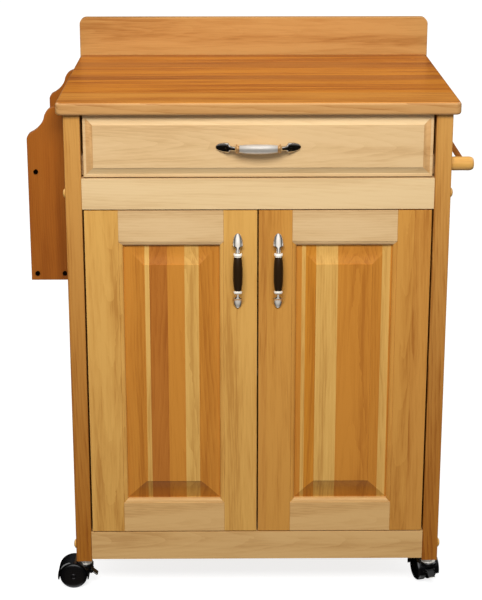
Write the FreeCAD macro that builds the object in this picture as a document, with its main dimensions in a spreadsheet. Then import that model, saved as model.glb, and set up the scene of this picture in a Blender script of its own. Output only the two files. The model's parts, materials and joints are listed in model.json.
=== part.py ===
import FreeCAD, Part, Sketcher
import math
import os
import re

from FreeCAD import Placement, Rotation, Vector

# Rolling butcher block kitchen table: a cabinet on casters with a drawer, two doors, a side rack and a
# towel bar. Millimetres. +Z is up, the front faces -Y, and the origin is on the floor under the middle
# of the object's box. Every size below can be changed by itself.

SIZES = [
    ("worktop_height", 905.0, "floor to the worktop's surface"),
    ("cabinet_width", 656.0, "over the legs, side to side"),
    ("cabinet_depth", 465.0, "over the legs, front to back"),
    ("top_overhang", 12.0, "worktop past the legs, front, sides and rear"),
    ("top_thickness", 22.0, "worktop"),
    ("top_corner", 10.0, "radius of the worktop's front corners in plan"),
    ("top_edge", 5.0, "rounding of the worktop's long edges"),
    ("splash_height", 95.0, "backsplash, from the worktop's underside"),
    ("splash_thickness", 19.0, "backsplash"),
    ("splash_corner", 13.0, "radius of the backsplash's upper corners"),
    ("splash_edge", 2.0, "rounding of the backsplash's edges"),
    ("leg_width", 28.0, "leg, side to side"),
    ("leg_depth", 40.0, "leg, front to back"),
    ("leg_edge", 1.5, "rounding of the leg's long edges"),
    ("rail_lift", 4.5, "lower rails above the foot of the legs"),
    ("rail_height", 54.0, "rails"),
    ("rail_thickness", 20.0, "rails"),
    ("stack_gap", 2.0, "gap above and below the doors and the drawer front"),
    ("drawer_side_gap", 4.0, "gap beside the drawer front"),
    ("door_side_gap", 3.0, "gap between a door and its leg"),
    ("door_middle_gap", 2.5, "gap between the doors"),
    ("drawer_front_height", 107.0, "drawer front"),
    ("drawer_front_thickness", 20.0, "drawer front"),
    ("drawer_lip", 5.0, "flat lip round the drawer front's bevel"),
    ("drawer_bevel", 11.0, "width of the drawer front's bevel"),
    ("drawer_relief", 4.0, "height of the drawer front's raised field"),
    ("side_thickness", 12.0, "side panels"),
    ("back_thickness", 6.0, "back panel"),
    ("floor_thickness", 12.0, "cabinet floor"),
    ("shelf_thickness", 15.0, "shelf behind the doors"),
    ("shelf_rise", 285.0, "clear height between cabinet floor and shelf"),
    ("panel_fit", 1.0, "play round a loose panel"),
    ("shelf_pin_radius", 2.5, "shelf pin"),
    ("shelf_pin_depth", 8.0, "shelf pin inside the side panel"),
    ("shelf_pin_reach", 10.0, "shelf pin under the shelf"),
    ("shelf_pin_inset", 30.0, "shelf pin from the shelf's front or rear edge"),
    ("fit", 0.05, "radial clearance of every pin, screw and axle in its hole"),
    ("seat", 0.3, "clearance between pieces that slide or turn on each other"),
    ("bolt_radius", 3.0, "leg bolt"),
    ("bolt_head_radius", 6.0, "leg bolt's head"),
    ("bolt_head_height", 5.0, "leg bolt's head"),
    ("bolt_recess", 12.0, "depth of the recess for the bolt's head and its plug"),
    ("recess_radius", 6.5, "recess for the bolt's head and its plug"),
    ("bolt_reach", 45.0, "leg bolt inside the rail"),
    ("nut_radius", 5.0, "barrel nut"),
    ("nut_length", 14.0, "barrel nut"),
    ("nut_inset", 30.0, "barrel nut's axis from the rail's end"),
    ("plug_radius", 8.5, "button plug's dome"),
    ("plug_dome", 4.5, "height of the plug's dome"),
    ("plug_shank", 6.0, "length of the plug's shank"),
    ("runner_web", 4.0, "drawer runner's upright"),
    ("runner_height", 34.0, "drawer runner's upright"),
    ("runner_ledge", 16.0, "drawer runner's ledge, from the leg"),
    ("runner_thickness", 6.0, "drawer runner's ledge"),
    ("runner_gap", 1.0, "play beside the drawer box"),
    ("drawer_rear_gap", 19.0, "drawer box before the back panel"),
    ("drawer_wall", 12.0, "drawer sides and back"),
    ("drawer_wall_height", 80.0, "drawer sides"),
    ("drawer_bottom_thickness", 5.0, "drawer bottom"),
    ("drawer_bottom_lift", 10.0, "drawer bottom above the sides' lower edge"),
    ("groove_depth", 5.0, "groove in the drawer sides"),
    ("door_thickness", 20.0, "doors"),
    ("stile_width", 63.0, "door frame members, with their moulded edge"),
    ("moulding_width", 7.5, "moulded inner edge of the door frame"),
    ("moulding_depth", 6.0, "moulded inner edge of the door frame"),
    ("panel_thickness", 6.0, "door panel's tongue"),
    ("panel_setback", 9.0, "door panel's tongue behind the door's face"),
    ("panel_groove", 8.0, "groove for the door panel"),
    ("panel_bevel", 33.0, "width of the door panel's bevel"),
    ("panel_field_setback", 2.0, "raised field behind the door's face"),
    ("panel_step", 1.0, "step round the raised field"),
    ("pivot_radius", 3.0, "door pivot pin"),
    ("pivot_inset", 10.0, "pivot from the door's outer edge"),
    ("pivot_setback", 6.0, "pivot behind the door's face"),
    ("pivot_depth", 12.0, "pivot pin inside the door or the rail"),
    ("strike_width", 24.0, "strike plate"),
    ("strike_height", 12.0, "strike plate"),
    ("strike_thickness", 1.2, "strike plate"),
    ("strike_inset", 10.0, "strike plate from the door's meeting edge"),
    ("catch_drop", 20.0, "catch below the middle rail"),
    ("catch_rise", 22.0, "catch up the middle rail's rear face"),
    ("catch_depth", 15.0, "catch, front to back"),
    ("pull_reach", 28.0, "pull's front above the door's face"),
    ("pull_grip_radius", 7.85, "pull's grip at its middle"),
    ("pull_neck_radius", 4.6, "pull's neck beside the grip"),
    ("pull_spoon_width", 17.6, "pull's spoon-shaped foot"),
    ("pull_spoon_thickness", 5.0, "pull's spoon-shaped foot"),
    ("pull_screw_radius", 2.0, "pull screw"),
    ("pull_screw_inset", 13.0, "pull screw from the end of the pull"),
    ("pull_screw_bite", 5.0, "pull screw inside the foot"),
    ("pull_boss_radius", 4.0, "boss round the pull's screw"),
    ("door_pull_length", 135.0, "door pull"),
    ("door_pull_inset", 33.5, "door pull from the door's meeting edge"),
    ("door_pull_drop", 107.0, "middle of the door pull below the door's top"),
    ("drawer_pull_length", 144.5, "drawer pull"),
    ("towel_drop", 90.0, "towel bar's axis below the worktop's underside"),
    ("towel_reach", 40.0, "towel arms out from the legs"),
    ("towel_arm_radius", 12.0, "towel arm"),
    ("towel_arm_round", 7.0, "rounding of the towel arm's end"),
    ("towel_rail_radius", 5.0, "towel rail"),
    ("towel_rail_reach", 22.0, "towel rail's axis out from the legs"),
    ("rack_depth", 70.0, "rack out from the legs"),
    ("rack_height", 310.0, "rack ends"),
    ("rack_setback", 63.0, "rack's front end behind the legs' face"),
    ("rack_rear_setback", 19.0, "rack's rear end before the legs' rear"),
    ("rack_board", 16.0, "rack ends"),
    ("rack_flat", 22.0, "flat top of a rack end"),
    ("rack_round", 20.0, "radius of a rack end's upper shoulder"),
    ("rack_hollow", 32.0, "radius of a rack end's hollow"),
    ("rack_nose", 18.0, "radius of a rack end's lower shoulder"),
    ("rack_nose_foot", 55.0, "rack's top down to the foot of the lower shoulder"),
    ("rack_nose_top", 40.0, "rack's top down to the hollow's outer end"),
    ("rack_nose_inset", 8.0, "hollow's outer end behind the rack's outer edge"),
    ("rack_hollow_top", 16.0, "rack's top down to the hollow's inner end"),
    ("rack_hollow_inset", 31.0, "hollow's inner end behind the rack's outer edge"),
    ("rack_screw_inset", 50.0, "screw in a rack end, from the rack's top or foot"),
    ("rack_shelf_lift", 5.0, "rack shelf above the ends' lower edge"),
    ("rack_shelf_thickness", 16.0, "rack shelf"),
    ("guard_height", 40.0, "guard rail"),
    ("guard_thickness", 14.0, "guard rail"),
    ("guard_inset", 7.0, "guard rail behind the rack's outer edge"),
    ("guard_drop", 113.0, "middle of the guard rail below the rack's top"),
    ("shelf_screw_inset", 11.0, "screw into the rack shelf, from the rack's inner or outer edge"),
    ("screw_radius", 2.0, "wood screw"),
    ("screw_head_radius", 4.0, "wood screw's head"),
    ("screw_head_height", 2.5, "wood screw's head"),
    ("screw_length", 42.0, "wood screw under its head"),
    ("short_screw_length", 32.0, "wood screw through a side panel"),
    ("wheel_radius", 25.0, "caster wheel"),
    ("wheel_width", 16.0, "one wheel of the pair"),
    ("wheel_crown", 6.0, "rounding of the tyre's outer edge"),
    ("caster_trail", 21.0, "wheel's axle behind the swivel axis"),
    ("web_thickness", 7.0, "hood's middle web between the wheels"),
    ("hood_gap", 1.2, "between the tyres and the hood"),
    ("hood_wall", 2.3, "hood's wall"),
    ("hood_drop", 2.5, "hood's top below the foot of the legs"),
    ("hub_radius", 9.0, "hood's hub round the axle"),
    ("hood_width", 41.0, "hood, along the axle"),
    ("hood_hem", 20.0, "floor to the hood's lower edge"),
    ("boss_radius", 9.0, "hood's boss under the leg"),
    ("stem_radius", 5.5, "caster stem"),
    ("stem_depth", 7.0, "stem inside the hood"),
    ("stem_length", 22.0, "stem inside the leg"),
    ("axle_radius", 3.0, "caster axle"),
    ("socket_radius", 7.0, "socket in the leg"),
    ("socket_length", 23.0, "socket in the leg"),
    ("flange_radius", 11.5, "socket's flange"),
    ("flange_thickness", 1.5, "socket's flange"),
    ("brake_gap", 0.5, "between the hood and the brake lever's knuckle"),
    ("brake_rise", 10.0, "brake pivot above the wheel's axle, in degrees"),
    ("brake_knuckle", 3.0, "brake lever's knuckle"),
    ("brake_pin_radius", 1.5, "brake pivot pin"),
    ("brake_width", 12.0, "brake lever"),
    ("brake_length", 15.0, "brake lever's blade"),
    ("brake_thickness", 2.4, "brake lever's blade"),
    ("brake_ear", 2.5, "ears that hold the brake pin"),
    ("brake_droop", 40.0, "slope of the brake lever, in degrees"),
    ("turn_front_left", 180.0, "where the front left caster trails, from +X"),
    ("turn_front_right", 105.0, "where the front right caster trails, from +X"),
    ("turn_rear_left", 30.0, "where the rear left caster trails, from +X"),
    ("turn_rear_right", 150.0, "where the rear right caster trails, from +X"),
]

# Places that follow from the sizes above.
LAYOUT = [
    ("middle", "(rack_depth - towel_reach) / 2"),
    ("hood_inner", "wheel_radius + hood_gap"),
    ("hood_outer", "hood_inner + hood_wall"),
    ("leg_foot", "wheel_radius + hood_outer + hood_drop"),
    ("brake_reach", "hood_outer + brake_knuckle + brake_gap"),
    ("half_width", "cabinet_width / 2"),
    ("inner_half", "half_width - leg_width"),
    ("top_width", "cabinet_width + 2 * top_overhang"),
    ("top_depth", "cabinet_depth + 2 * top_overhang"),
    ("face", "(pull_reach - splash_thickness - 2 * top_overhang - cabinet_depth) / 2 + top_overhang / 2"),
    ("front_edge", "face - top_overhang"),
    ("rear", "face + cabinet_depth"),
    ("rear_edge", "rear + top_overhang"),
    ("underside", "worktop_height - top_thickness"),
    ("low_rail", "leg_foot + rail_lift"),
    ("door_foot", "low_rail + rail_height + stack_gap"),
    ("drawer_foot", "underside - stack_gap - drawer_front_height"),
    ("middle_rail_foot", "drawer_foot - stack_gap - rail_height"),
    ("door_height", "middle_rail_foot - stack_gap - door_foot"),
    ("door_width", "inner_half - door_side_gap - door_middle_gap / 2"),
    ("rail_back", "face + rail_thickness"),
    ("back_face", "rear - rail_thickness - back_thickness"),
    ("side_face", "half_width - side_thickness"),
    ("floor_top", "low_rail + rail_height"),
    ("shelf_foot", "floor_top + shelf_rise"),
    ("shelf_front", "face + leg_depth + panel_fit"),
    ("shelf_rear", "rear - leg_depth - panel_fit"),
    ("ledge_top", "drawer_foot + runner_thickness"),
    ("box_half", "inner_half - runner_web - runner_gap"),
    ("box_foot", "ledge_top + seat"),
    ("box_front", "face + drawer_front_thickness"),
    ("bottom_foot", "box_foot + drawer_bottom_lift"),
    ("drawer_depth", "back_face - box_front - drawer_rear_gap"),
    ("towel_height", "underside - towel_drop"),
    ("front_leg_middle", "face + leg_depth / 2"),
    ("rear_leg_middle", "rear - leg_depth / 2"),
    ("leg_middle", "half_width - leg_width / 2"),
    ("rack_foot", "underside - rack_height"),
    ("rack_front", "face + rack_setback"),
    ("rack_rear", "rear - rack_rear_setback"),
    ("rack_length", "rack_rear - rack_front"),
    ("opening_width", "door_width - 2 * stile_width"),
    ("opening_height", "door_height - 2 * stile_width"),
    ("flat_width", "stile_width - moulding_width"),
]

ON_FACE = 0.1  # mm: an edge this near to a face lies on it
PARALLEL = 0.9  # share of an edge's direction that makes it run along an axis

SIZE_NAMES = {alias for alias, _, _ in SIZES}
LAYOUT_NAMES = {alias for alias, _ in LAYOUT}

doc = FreeCAD.newDocument("butcher_block_table")
sizes = doc.addObject("Spreadsheet::Sheet", "sizes")
layout = doc.addObject("Spreadsheet::Sheet", "layout")
NODES = {}


def expand(text, inside_layout=False):
    """Turn the words of a formula into references to the two sheets."""

    def refer(match):
        word = match.group(0)
        if word in SIZE_NAMES:
            return "sizes." + word
        if word in LAYOUT_NAMES and not inside_layout:
            return "layout." + word
        return word

    return re.sub(r"[a-z_]+", refer, str(text))


def fill_sheets():
    """Write the sizes as plain numbers, and the places as formulas on them."""
    for row, (alias, value, meaning) in enumerate(SIZES, start=1):
        sizes.set(f"A{row}", alias)
        sizes.set(f"B{row}", str(value))
        sizes.set(f"C{row}", meaning)
        sizes.setAlias(f"B{row}", alias)
    for row, (alias, formula) in enumerate(LAYOUT, start=1):
        layout.set(f"A{row}", alias)
        layout.set(f"B{row}", "=" + expand(formula, inside_layout=True))
        layout.setAlias(f"B{row}", alias)
    doc.recompute()


def number(text):
    """Work out a formula now."""
    value = sizes.evalExpression(expand(text))
    return float(getattr(value, "Value", value))


def bind(thing, **formulas):
    """Bind properties to formulas."""
    for name, formula in formulas.items():
        thing.setExpression(name, expand(formula))


def place(thing, x, y, z, rotation=None):
    """Put a thing's own origin at a point that follows the sheets."""
    if rotation is not None:
        thing.Placement = Placement(Vector(0, 0, 0), rotation)
    for letter, formula in zip("xyz", (x, y, z)):
        thing.setExpression("Placement.Base." + letter, expand(formula))


def node(label, thing):
    """Name a finished sub-part."""
    thing.Label = label
    NODES[label] = thing
    return thing


# --- primitives and booleans -------------------------------------------------------------------


def box(name, x, y, z, length, width, height):
    """A board whose low corner is at x, y, z."""
    thing = doc.addObject("Part::Box", name)
    bind(thing, Length=length, Width=width, Height=height)
    place(thing, x, y, z)
    return thing


AXIS_TURNS = {
    "x": Rotation(Vector(0, 1, 0), 90),
    "y": Rotation(Vector(1, 0, 0), -90),
    "z": Rotation(),
}


def rod(name, axis, x, y, z, radius, length):
    """A cylinder along +axis from the point x, y, z."""
    thing = doc.addObject("Part::Cylinder", name)
    bind(thing, Radius=radius, Height=length)
    place(thing, x, y, z, AXIS_TURNS[axis])
    return thing


def frustum(name, x, y, z, depth, near, far):
    """A tapered block along +Y. near and far are (inset, width, height) of its two faces."""
    thing = doc.addObject("Part::Wedge", name)
    for suffix, (inset, width, height) in (("", near), ("2", far)):
        for letter, span in (("X", width), ("Z", height)):
            bind(thing, **{f"{letter}{suffix}min": inset, f"{letter}{suffix}max": f"{inset} + {span}"})
    bind(thing, Ymin="0", Ymax=depth)
    place(thing, x, y, z)
    return thing


def cut(name, base, *tools):
    """Take the tools away from the base."""
    thing = doc.addObject("Part::Cut", name)
    thing.Base = base
    thing.Tool = tools[0] if len(tools) == 1 else fuse(name + "_tools", *tools)
    return thing


def fuse(name, *shapes):
    """Join touching shapes into one solid."""
    thing = doc.addObject("Part::MultiFuse", name)
    thing.Shapes = list(shapes)
    return thing


def common(name, *shapes):
    """Keep what the shapes share."""
    thing = doc.addObject("Part::MultiCommon", name)
    thing.Shapes = list(shapes)
    return thing


def group(name, solids):
    """Hold separate solids of one kind together."""
    thing = doc.addObject("Part::Compound", name)
    thing.Links = list(solids)
    return thing


# --- bodies with sketches ----------------------------------------------------------------------


def new_body(name, x, y, z, rotation=None):
    body = doc.addObject("PartDesign::Body", name)
    place(body, x, y, z, rotation)
    return body


def new_sketch(body, role, offset="0"):
    """A sketch on one of the body's own planes, moved along the plane's normal by offset."""
    planes = {feature.Role: feature for feature in body.Origin.OriginFeatures}
    sketch = body.newObject("Sketcher::SketchObject", body.Name + "_sketch")
    sketch.AttachmentSupport = [(planes[role], "")]
    sketch.MapMode = "FlatFace"
    sketch.setExpression("AttachmentOffset.Base.z", expand(offset))
    return sketch


def draw_outline(sketch, points, arcs=None):
    """Draw a closed outline, counterclockwise. arcs maps an edge's number to (radius, bulges outwards)."""
    arcs = arcs or {}
    spots = [Vector(number(x), number(y), 0) for x, y in points]
    ends = []
    for index, start in enumerate(spots):
        finish = spots[(index + 1) % len(spots)]
        if index not in arcs:
            edge = sketch.addGeometry(Part.LineSegment(start, finish), False)
            ends.append((edge, 1, 2))
            continue
        radius, outwards = arcs[index]
        chord = finish - start
        left = Vector(-chord.y, chord.x, 0).normalize()
        rise = math.sqrt(number(radius) ** 2 - (chord.Length / 2) ** 2)
        centre = (start + finish) * 0.5 + left * (rise if outwards else -rise)
        angles = [math.atan2(spot.y - centre.y, spot.x - centre.x) for spot in (start, finish)]
        circle = Part.Circle(centre, Vector(0, 0, 1), number(radius))
        first, last = angles if outwards else reversed(angles)
        edge = sketch.addGeometry(Part.ArcOfCircle(circle, first, last), False)
        ends.append((edge, 1, 2) if outwards else (edge, 2, 1))
        constrain(sketch, radius, "Radius", edge)
    for (edge, _, finish), (following, start, _) in zip(ends, ends[1:] + ends[:1]):
        add_constraint(sketch, "Coincident", edge, finish, following, start)
    for (edge, start, _), (x, y) in zip(ends, points):
        constrain(sketch, x, "DistanceX", -1, 1, edge, start)
        constrain(sketch, y, "DistanceY", -1, 1, edge, start)


def add_constraint(sketch, kind, *where):
    return sketch.addConstraint(Sketcher.Constraint(kind, *where))


def constrain(sketch, formula, kind, *where):
    """Add a dimension that follows the sheets."""
    index = add_constraint(sketch, kind, *where, number(formula))
    sketch.setExpression(f"Constraints[{index}]", expand(formula))


def rectangle(sketch, width, height, x="0", y="0"):
    """Draw a rectangle from its low corner."""
    right = f"{x} + {width}"
    top = f"{y} + {height}"
    draw_outline(sketch, [(x, y), (right, y), (right, top), (x, top)])


def circle(sketch, x, y, radius):
    """Draw a circle about a point."""
    centre = Vector(number(x), number(y), 0)
    index = sketch.addGeometry(Part.Circle(centre, Vector(0, 0, 1), number(radius)), False)
    constrain(sketch, x, "DistanceX", -1, 1, index, 3)
    constrain(sketch, y, "DistanceY", -1, 1, index, 3)
    constrain(sketch, radius, "Radius", index)


def pad(body, sketch, length, backwards=False):
    """Pad along the sketch's normal, or against it."""
    feature = body.newObject("PartDesign::Pad", body.Name + "_pad")
    feature.Profile = sketch
    feature.Reversed = backwards
    bind(feature, Length=length)
    doc.recompute()
    return feature


def pocket(body, sketch, depth, backwards=False):
    """Cut against the sketch's normal, or along it, and make sure that it removes material."""
    before = body.Shape.Volume
    feature = body.newObject("PartDesign::Pocket", body.Name + "_pocket")
    feature.Profile = sketch
    feature.Reversed = backwards
    bind(feature, Length=depth)
    doc.recompute()
    if body.Shape.Volume >= before - 1e-3:
        raise RuntimeError(f"{feature.Name} removes nothing")
    return feature


def revolve(body, sketch):
    """Turn a profile about the sketch's upright axis."""
    feature = body.newObject("PartDesign::Revolution", body.Name + "_turning")
    feature.Profile = sketch
    feature.ReferenceAxis = (sketch, ["V_Axis"])
    feature.Angle = 360
    doc.recompute()
    return feature


def round_edges(body, radius, wanted):
    """Round the edges of the body's last feature whose middle and direction are wanted."""
    shape = body.Tip.Shape
    names = []
    for index, edge in enumerate(shape.Edges, start=1):
        middle = edge.valueAt((edge.FirstParameter + edge.LastParameter) / 2)
        along = edge.tangentAt((edge.FirstParameter + edge.LastParameter) / 2)
        if wanted(middle, along):
            names.append(f"Edge{index}")
    feature = body.newObject("PartDesign::Fillet", body.Name + "_rounding")
    feature.Base = (body.Tip if body.Tip is not feature else feature.BaseFeature, names)
    bind(feature, Radius=radius)
    doc.recompute()
    return feature


# --- worktop and backsplash --------------------------------------------------------------------


def build_worktop():
    """The glued-up block: rounded at the front corners and along the front and side edges."""
    body = new_body("worktop", "middle - top_width / 2", "front_edge", "underside")
    sketch = new_sketch(body, "XY_Plane")
    rectangle(sketch, "top_width", "top_depth")
    pad(body, sketch, "top_thickness")
    round_edges(body, "top_corner", lambda at, along: abs(along.z) > PARALLEL and at.y < ON_FACE)
    rear = number("top_depth")
    round_edges(body, "top_edge", lambda at, along: abs(along.z) < PARALLEL and at.y < rear - ON_FACE)
    screw_holes = [splash_screw_bore(index, "worktop_bore") for index in range(3)]
    node("worktop", cut("worktop_drilled", body, *screw_holes))


def splash_screw_place(index):
    """Across position of one of the three screws behind the backsplash."""
    return f"middle + {index - 1} * top_width / 3"


def splash_screw_bore(index, name):
    return rod(
        f"{name}_{index}", "y", splash_screw_place(index), "rear_edge + splash_thickness - screw_length",
        "underside + top_thickness / 2", "screw_radius + fit", "screw_length",
    )


def build_backsplash():
    """The upstand behind the worktop, with round upper corners."""
    body = new_body("backsplash", "middle - top_width / 2", "rear_edge", "underside")
    sketch = new_sketch(body, "XZ_Plane")
    rectangle(sketch, "top_width", "splash_height")
    pad(body, sketch, "splash_thickness", backwards=True)
    top = number("splash_height")
    wall = number("splash_thickness")
    round_edges(body, "splash_corner", lambda at, along: abs(along.y) > PARALLEL and at.z > top - ON_FACE)
    round_edges(
        body, "splash_edge", lambda at, along: at.z > ON_FACE and (at.y < ON_FACE or at.y > wall - ON_FACE),
    )
    tools = []
    for index in range(3):
        tools.append(splash_screw_bore(index, "splash_bore"))
        tools.append(rod(
            f"splash_recess_{index}", "y", splash_screw_place(index),
            "rear_edge + splash_thickness - screw_head_height", "underside + top_thickness / 2",
            "screw_head_radius + fit", "screw_head_height",
        ))
    node("backsplash", cut("backsplash_drilled", body, *tools))


# --- legs, rails and their bolts -----------------------------------------------------------------

SIDES = {"left": -1, "right": 1}
ENDS = ("front", "rear")
RAIL_LEVELS = ("low_rail + rail_height / 2", "middle_rail_foot + rail_height / 2")


def across(side, inner, outer):
    """Low X of a piece between two distances from the middle, on either side."""
    return f"middle + {inner}" if side == "right" else f"middle - ({outer})"


def depth_of(end, front, rear):
    return front if end == "front" else rear


def bolt_line(end):
    """Depth of the bolts' axis: the middle of the rails."""
    return depth_of(end, "face + rail_thickness / 2", "rear - rail_thickness / 2")


def build_leg(side, end):
    """A leg: square post with a caster socket below, two bolt holes, and screw holes where needed."""
    name = f"leg_{end}_{side}"
    low_y = depth_of(end, "face", "rear - leg_depth")
    body = new_body(name, across(side, "inner_half", "half_width"), low_y, "leg_foot")
    sketch = new_sketch(body, "XY_Plane")
    rectangle(sketch, "leg_width", "leg_depth")
    pad(body, sketch, "underside - leg_foot")
    near = number("leg_depth") / 2
    outer_face = (lambda at: at.y < near) if end == "front" else (lambda at: at.y > near)
    round_edges(body, "leg_edge", lambda at, along: abs(along.z) > PARALLEL and outer_face(at))
    sketch = new_sketch(body, "XY_Plane")
    circle(sketch, "leg_width / 2", "leg_depth / 2", "socket_radius + fit")
    pocket(body, sketch, "socket_length + seat", backwards=True)
    tools = []
    for index, level in enumerate(RAIL_LEVELS):
        tools.append(rod(
            f"{name}_bore_{index}", "x", across(side, "inner_half", "half_width"), bolt_line(end), level,
            "bolt_radius + fit", "leg_width",
        ))
        tools.append(rod(
            f"{name}_recess_{index}", "x", across(side, "half_width - bolt_recess", "half_width"),
            bolt_line(end), level, "recess_radius", "bolt_recess",
        ))
    if side == "right":
        tools.append(towel_screw_bore(end, name))
        tools.append(rod(
            f"{name}_screw_recess", "x", "middle + inner_half", leg_line(end), "towel_height",
            "screw_head_radius + fit", "screw_head_height",
        ))
    node(name, cut(name + "_drilled", body, *tools))


def leg_line(end):
    """Depth of a leg's axis."""
    return depth_of(end, "front_leg_middle", "rear_leg_middle")


def rail_with_holes(name, level, end, extra=()):
    """A rail between two legs, bored for its bolts and barrel nuts."""
    low_y = depth_of(end, "face", "rear - rail_thickness")
    board = box(
        name + "_board", "middle - inner_half", low_y, level, "2 * inner_half", "rail_thickness", "rail_height",
    )
    tools = list(extra)
    middle_level = f"{level} + rail_height / 2"
    for side in SIDES:
        tools.append(rod(
            f"{name}_bolt_bore_{side}", "x", across(side, "inner_half - bolt_reach - fit", "inner_half"),
            bolt_line(end), middle_level, "bolt_radius + fit", "bolt_reach + fit",
        ))
        tools.append(barrel_nut_rod(f"{name}_nut_bore_{side}", side, end, middle_level, "fit"))
    return cut(name + "_bored", board, *tools)


def barrel_nut_rod(name, side, end, level, play):
    """The barrel nut's cylinder, or its bore when play is given. It is entered from inside the cabinet."""
    x = across(side, "inner_half - nut_inset", "inner_half - nut_inset")
    inside = depth_of(end, "rail_back - nut_length - panel_fit", "rear - rail_thickness + panel_fit")
    if play == "0":
        return rod(name, "y", x, inside, level, "nut_radius", "nut_length")
    low_y = depth_of(end, inside, "rear - rail_thickness")
    return rod(name, "y", x, low_y, level, f"nut_radius + {play}", "nut_length + panel_fit")


def build_rails():
    """Front rails carry the door pins, rear rails tie the rear legs."""
    node("bottom_rail", rail_with_holes("bottom_rail", "low_rail", "front", [
        pin_rod(f"low_pin_bore_{side}", side, "floor_top - pivot_depth - fit", "fit") for side in SIDES
    ]))
    node("middle_rail", rail_with_holes("middle_rail", "middle_rail_foot", "front", [
        pin_rod(f"high_pin_bore_{side}", side, "middle_rail_foot", "fit") for side in SIDES
    ]))
    node("rear_rails", group("rear_rails", [
        rail_with_holes("rear_low_rail", "low_rail", "rear"),
        rail_with_holes("rear_high_rail", "middle_rail_foot", "rear"),
    ]))


def pivot_across(side):
    """Across position of a door's pivot."""
    inset = "inner_half - door_side_gap - pivot_inset"
    return across(side, inset, inset)


def pin_rod(name, side, low_z, play, length="pivot_depth + fit"):
    """A door pin's cylinder, or its bore with play."""
    return rod(name, "z", pivot_across(side), "face + pivot_setback", low_z, f"pivot_radius + {play}", length)


def build_leg_fasteners():
    """Eight bolts, their barrel nuts and the button plugs that cover them."""
    bolts = []
    nuts = []
    plugs = []
    for side in SIDES:
        for end in ENDS:
            for index, level in enumerate(RAIL_LEVELS):
                name = f"{end}_{side}_{index}"
                floor = "half_width - bolt_recess"
                head = rod(
                    f"bolt_head_{name}", "x", across(side, floor, f"{floor} + bolt_head_height"),
                    bolt_line(end), level, "bolt_head_radius", "bolt_head_height",
                )
                shank_inner = "inner_half - bolt_reach"
                shank = rod(
                    f"bolt_shank_{name}", "x", across(side, shank_inner, floor), bolt_line(end), level,
                    "bolt_radius", f"{floor} - ({shank_inner})",
                )
                bolts.append(fuse(f"bolt_{name}", head, shank))
                blank = barrel_nut_rod(f"nut_blank_{name}", side, end, level, "0")
                thread = rod(
                    f"nut_thread_{name}", "x", across(side, "inner_half - nut_inset - nut_radius",
                                                      "inner_half - nut_inset + nut_radius"),
                    bolt_line(end), level, "bolt_radius + fit", "2 * nut_radius",
                )
                nuts.append(cut(f"nut_{name}", blank, thread))
                plugs.append(build_plug(f"plug_{name}", side, bolt_line(end), level))
    node("leg_bolts", group("leg_bolts", bolts))
    node("barrel_nuts", group("barrel_nuts", nuts))
    node("leg_plugs", group("leg_plugs", plugs))


def build_plug(name, side, y, z):
    """A turned button: a shank in the bolt's recess under a low dome."""
    rotation = Rotation(Vector(0, 1, 0), 90 * SIDES[side])
    start = "half_width - plug_shank"
    body = new_body(name, across(side, start, start), y, z, rotation)
    sketch = new_sketch(body, "XZ_Plane")
    shank = "recess_radius - fit"
    dome_radius = "(plug_radius * plug_radius + plug_dome * plug_dome) / (2 * plug_dome)"
    outline = [
        ("0", "0"), (shank, "0"), (shank, "plug_shank"), ("plug_radius", "plug_shank"),
        ("0", "plug_shank + plug_dome"),
    ]
    draw_outline(sketch, outline, {3: (dome_radius, True)})
    revolve(body, sketch)
    return body


# --- cabinet panels -------------------------------------------------------------------------------


def build_panels():
    """Side panels between the legs, back panel before the rear rails, floor, and shelf on its pins."""
    for side in SIDES:
        board = box(
            f"side_board_{side}", across(side, "side_face", "half_width"), "face + leg_depth", "low_rail",
            "side_thickness", "cabinet_depth - 2 * leg_depth", "underside - low_rail",
        )
        tools = [shelf_pin(f"pin_bore_{side}_{end}", side, end, "fit") for end in ENDS]
        if side == "left":
            tools += [rack_bore(f"side_rack_bore_{index}", *spot) for index, spot in enumerate(rack_spots())]
        node(f"side_panel_{side}", cut(f"side_panel_{side}_drilled", board, *tools))
    node("back_panel", box(
        "back_panel", "middle - inner_half", "back_face", "low_rail",
        "2 * inner_half", "back_thickness", "underside - low_rail",
    ))
    board = box(
        "floor_board", "middle - side_face", "rail_back", "floor_top - floor_thickness",
        "2 * side_face", "back_face - rail_back", "floor_thickness",
    )
    notches = []
    for side in SIDES:
        for end in ENDS:
            notches.append(box(
                f"floor_notch_{end}_{side}", across(side, "inner_half - seat", "half_width"),
                depth_of(end, "face", "rear - leg_depth - seat"), "leg_foot",
                "leg_width + seat", "leg_depth + seat", "floor_top",
            ))
    node("cabinet_floor", cut("cabinet_floor_notched", board, *notches))
    node("shelf", box(
        "shelf", "middle - side_face + panel_fit", "shelf_front", "shelf_foot",
        "2 * (side_face - panel_fit)", "shelf_rear - shelf_front", "shelf_thickness",
    ))
    pins = [shelf_pin(f"shelf_pin_{side}_{end}", side, end, "0") for side in SIDES for end in ENDS]
    node("shelf_pins", group("shelf_pins", pins))


def shelf_pin(name, side, end, play):
    """A shelf pin, or its bore with play."""
    y = depth_of(end, "shelf_front + shelf_pin_inset", "shelf_rear - shelf_pin_inset")
    inner = "side_face" if play != "0" else "side_face - shelf_pin_reach"
    outer = f"side_face + shelf_pin_depth + {play}"
    return rod(
        name, "x", across(side, inner, outer), y, "shelf_foot - shelf_pin_radius - fit",
        f"shelf_pin_radius + {play}", f"{outer} - ({inner})",
    )


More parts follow.
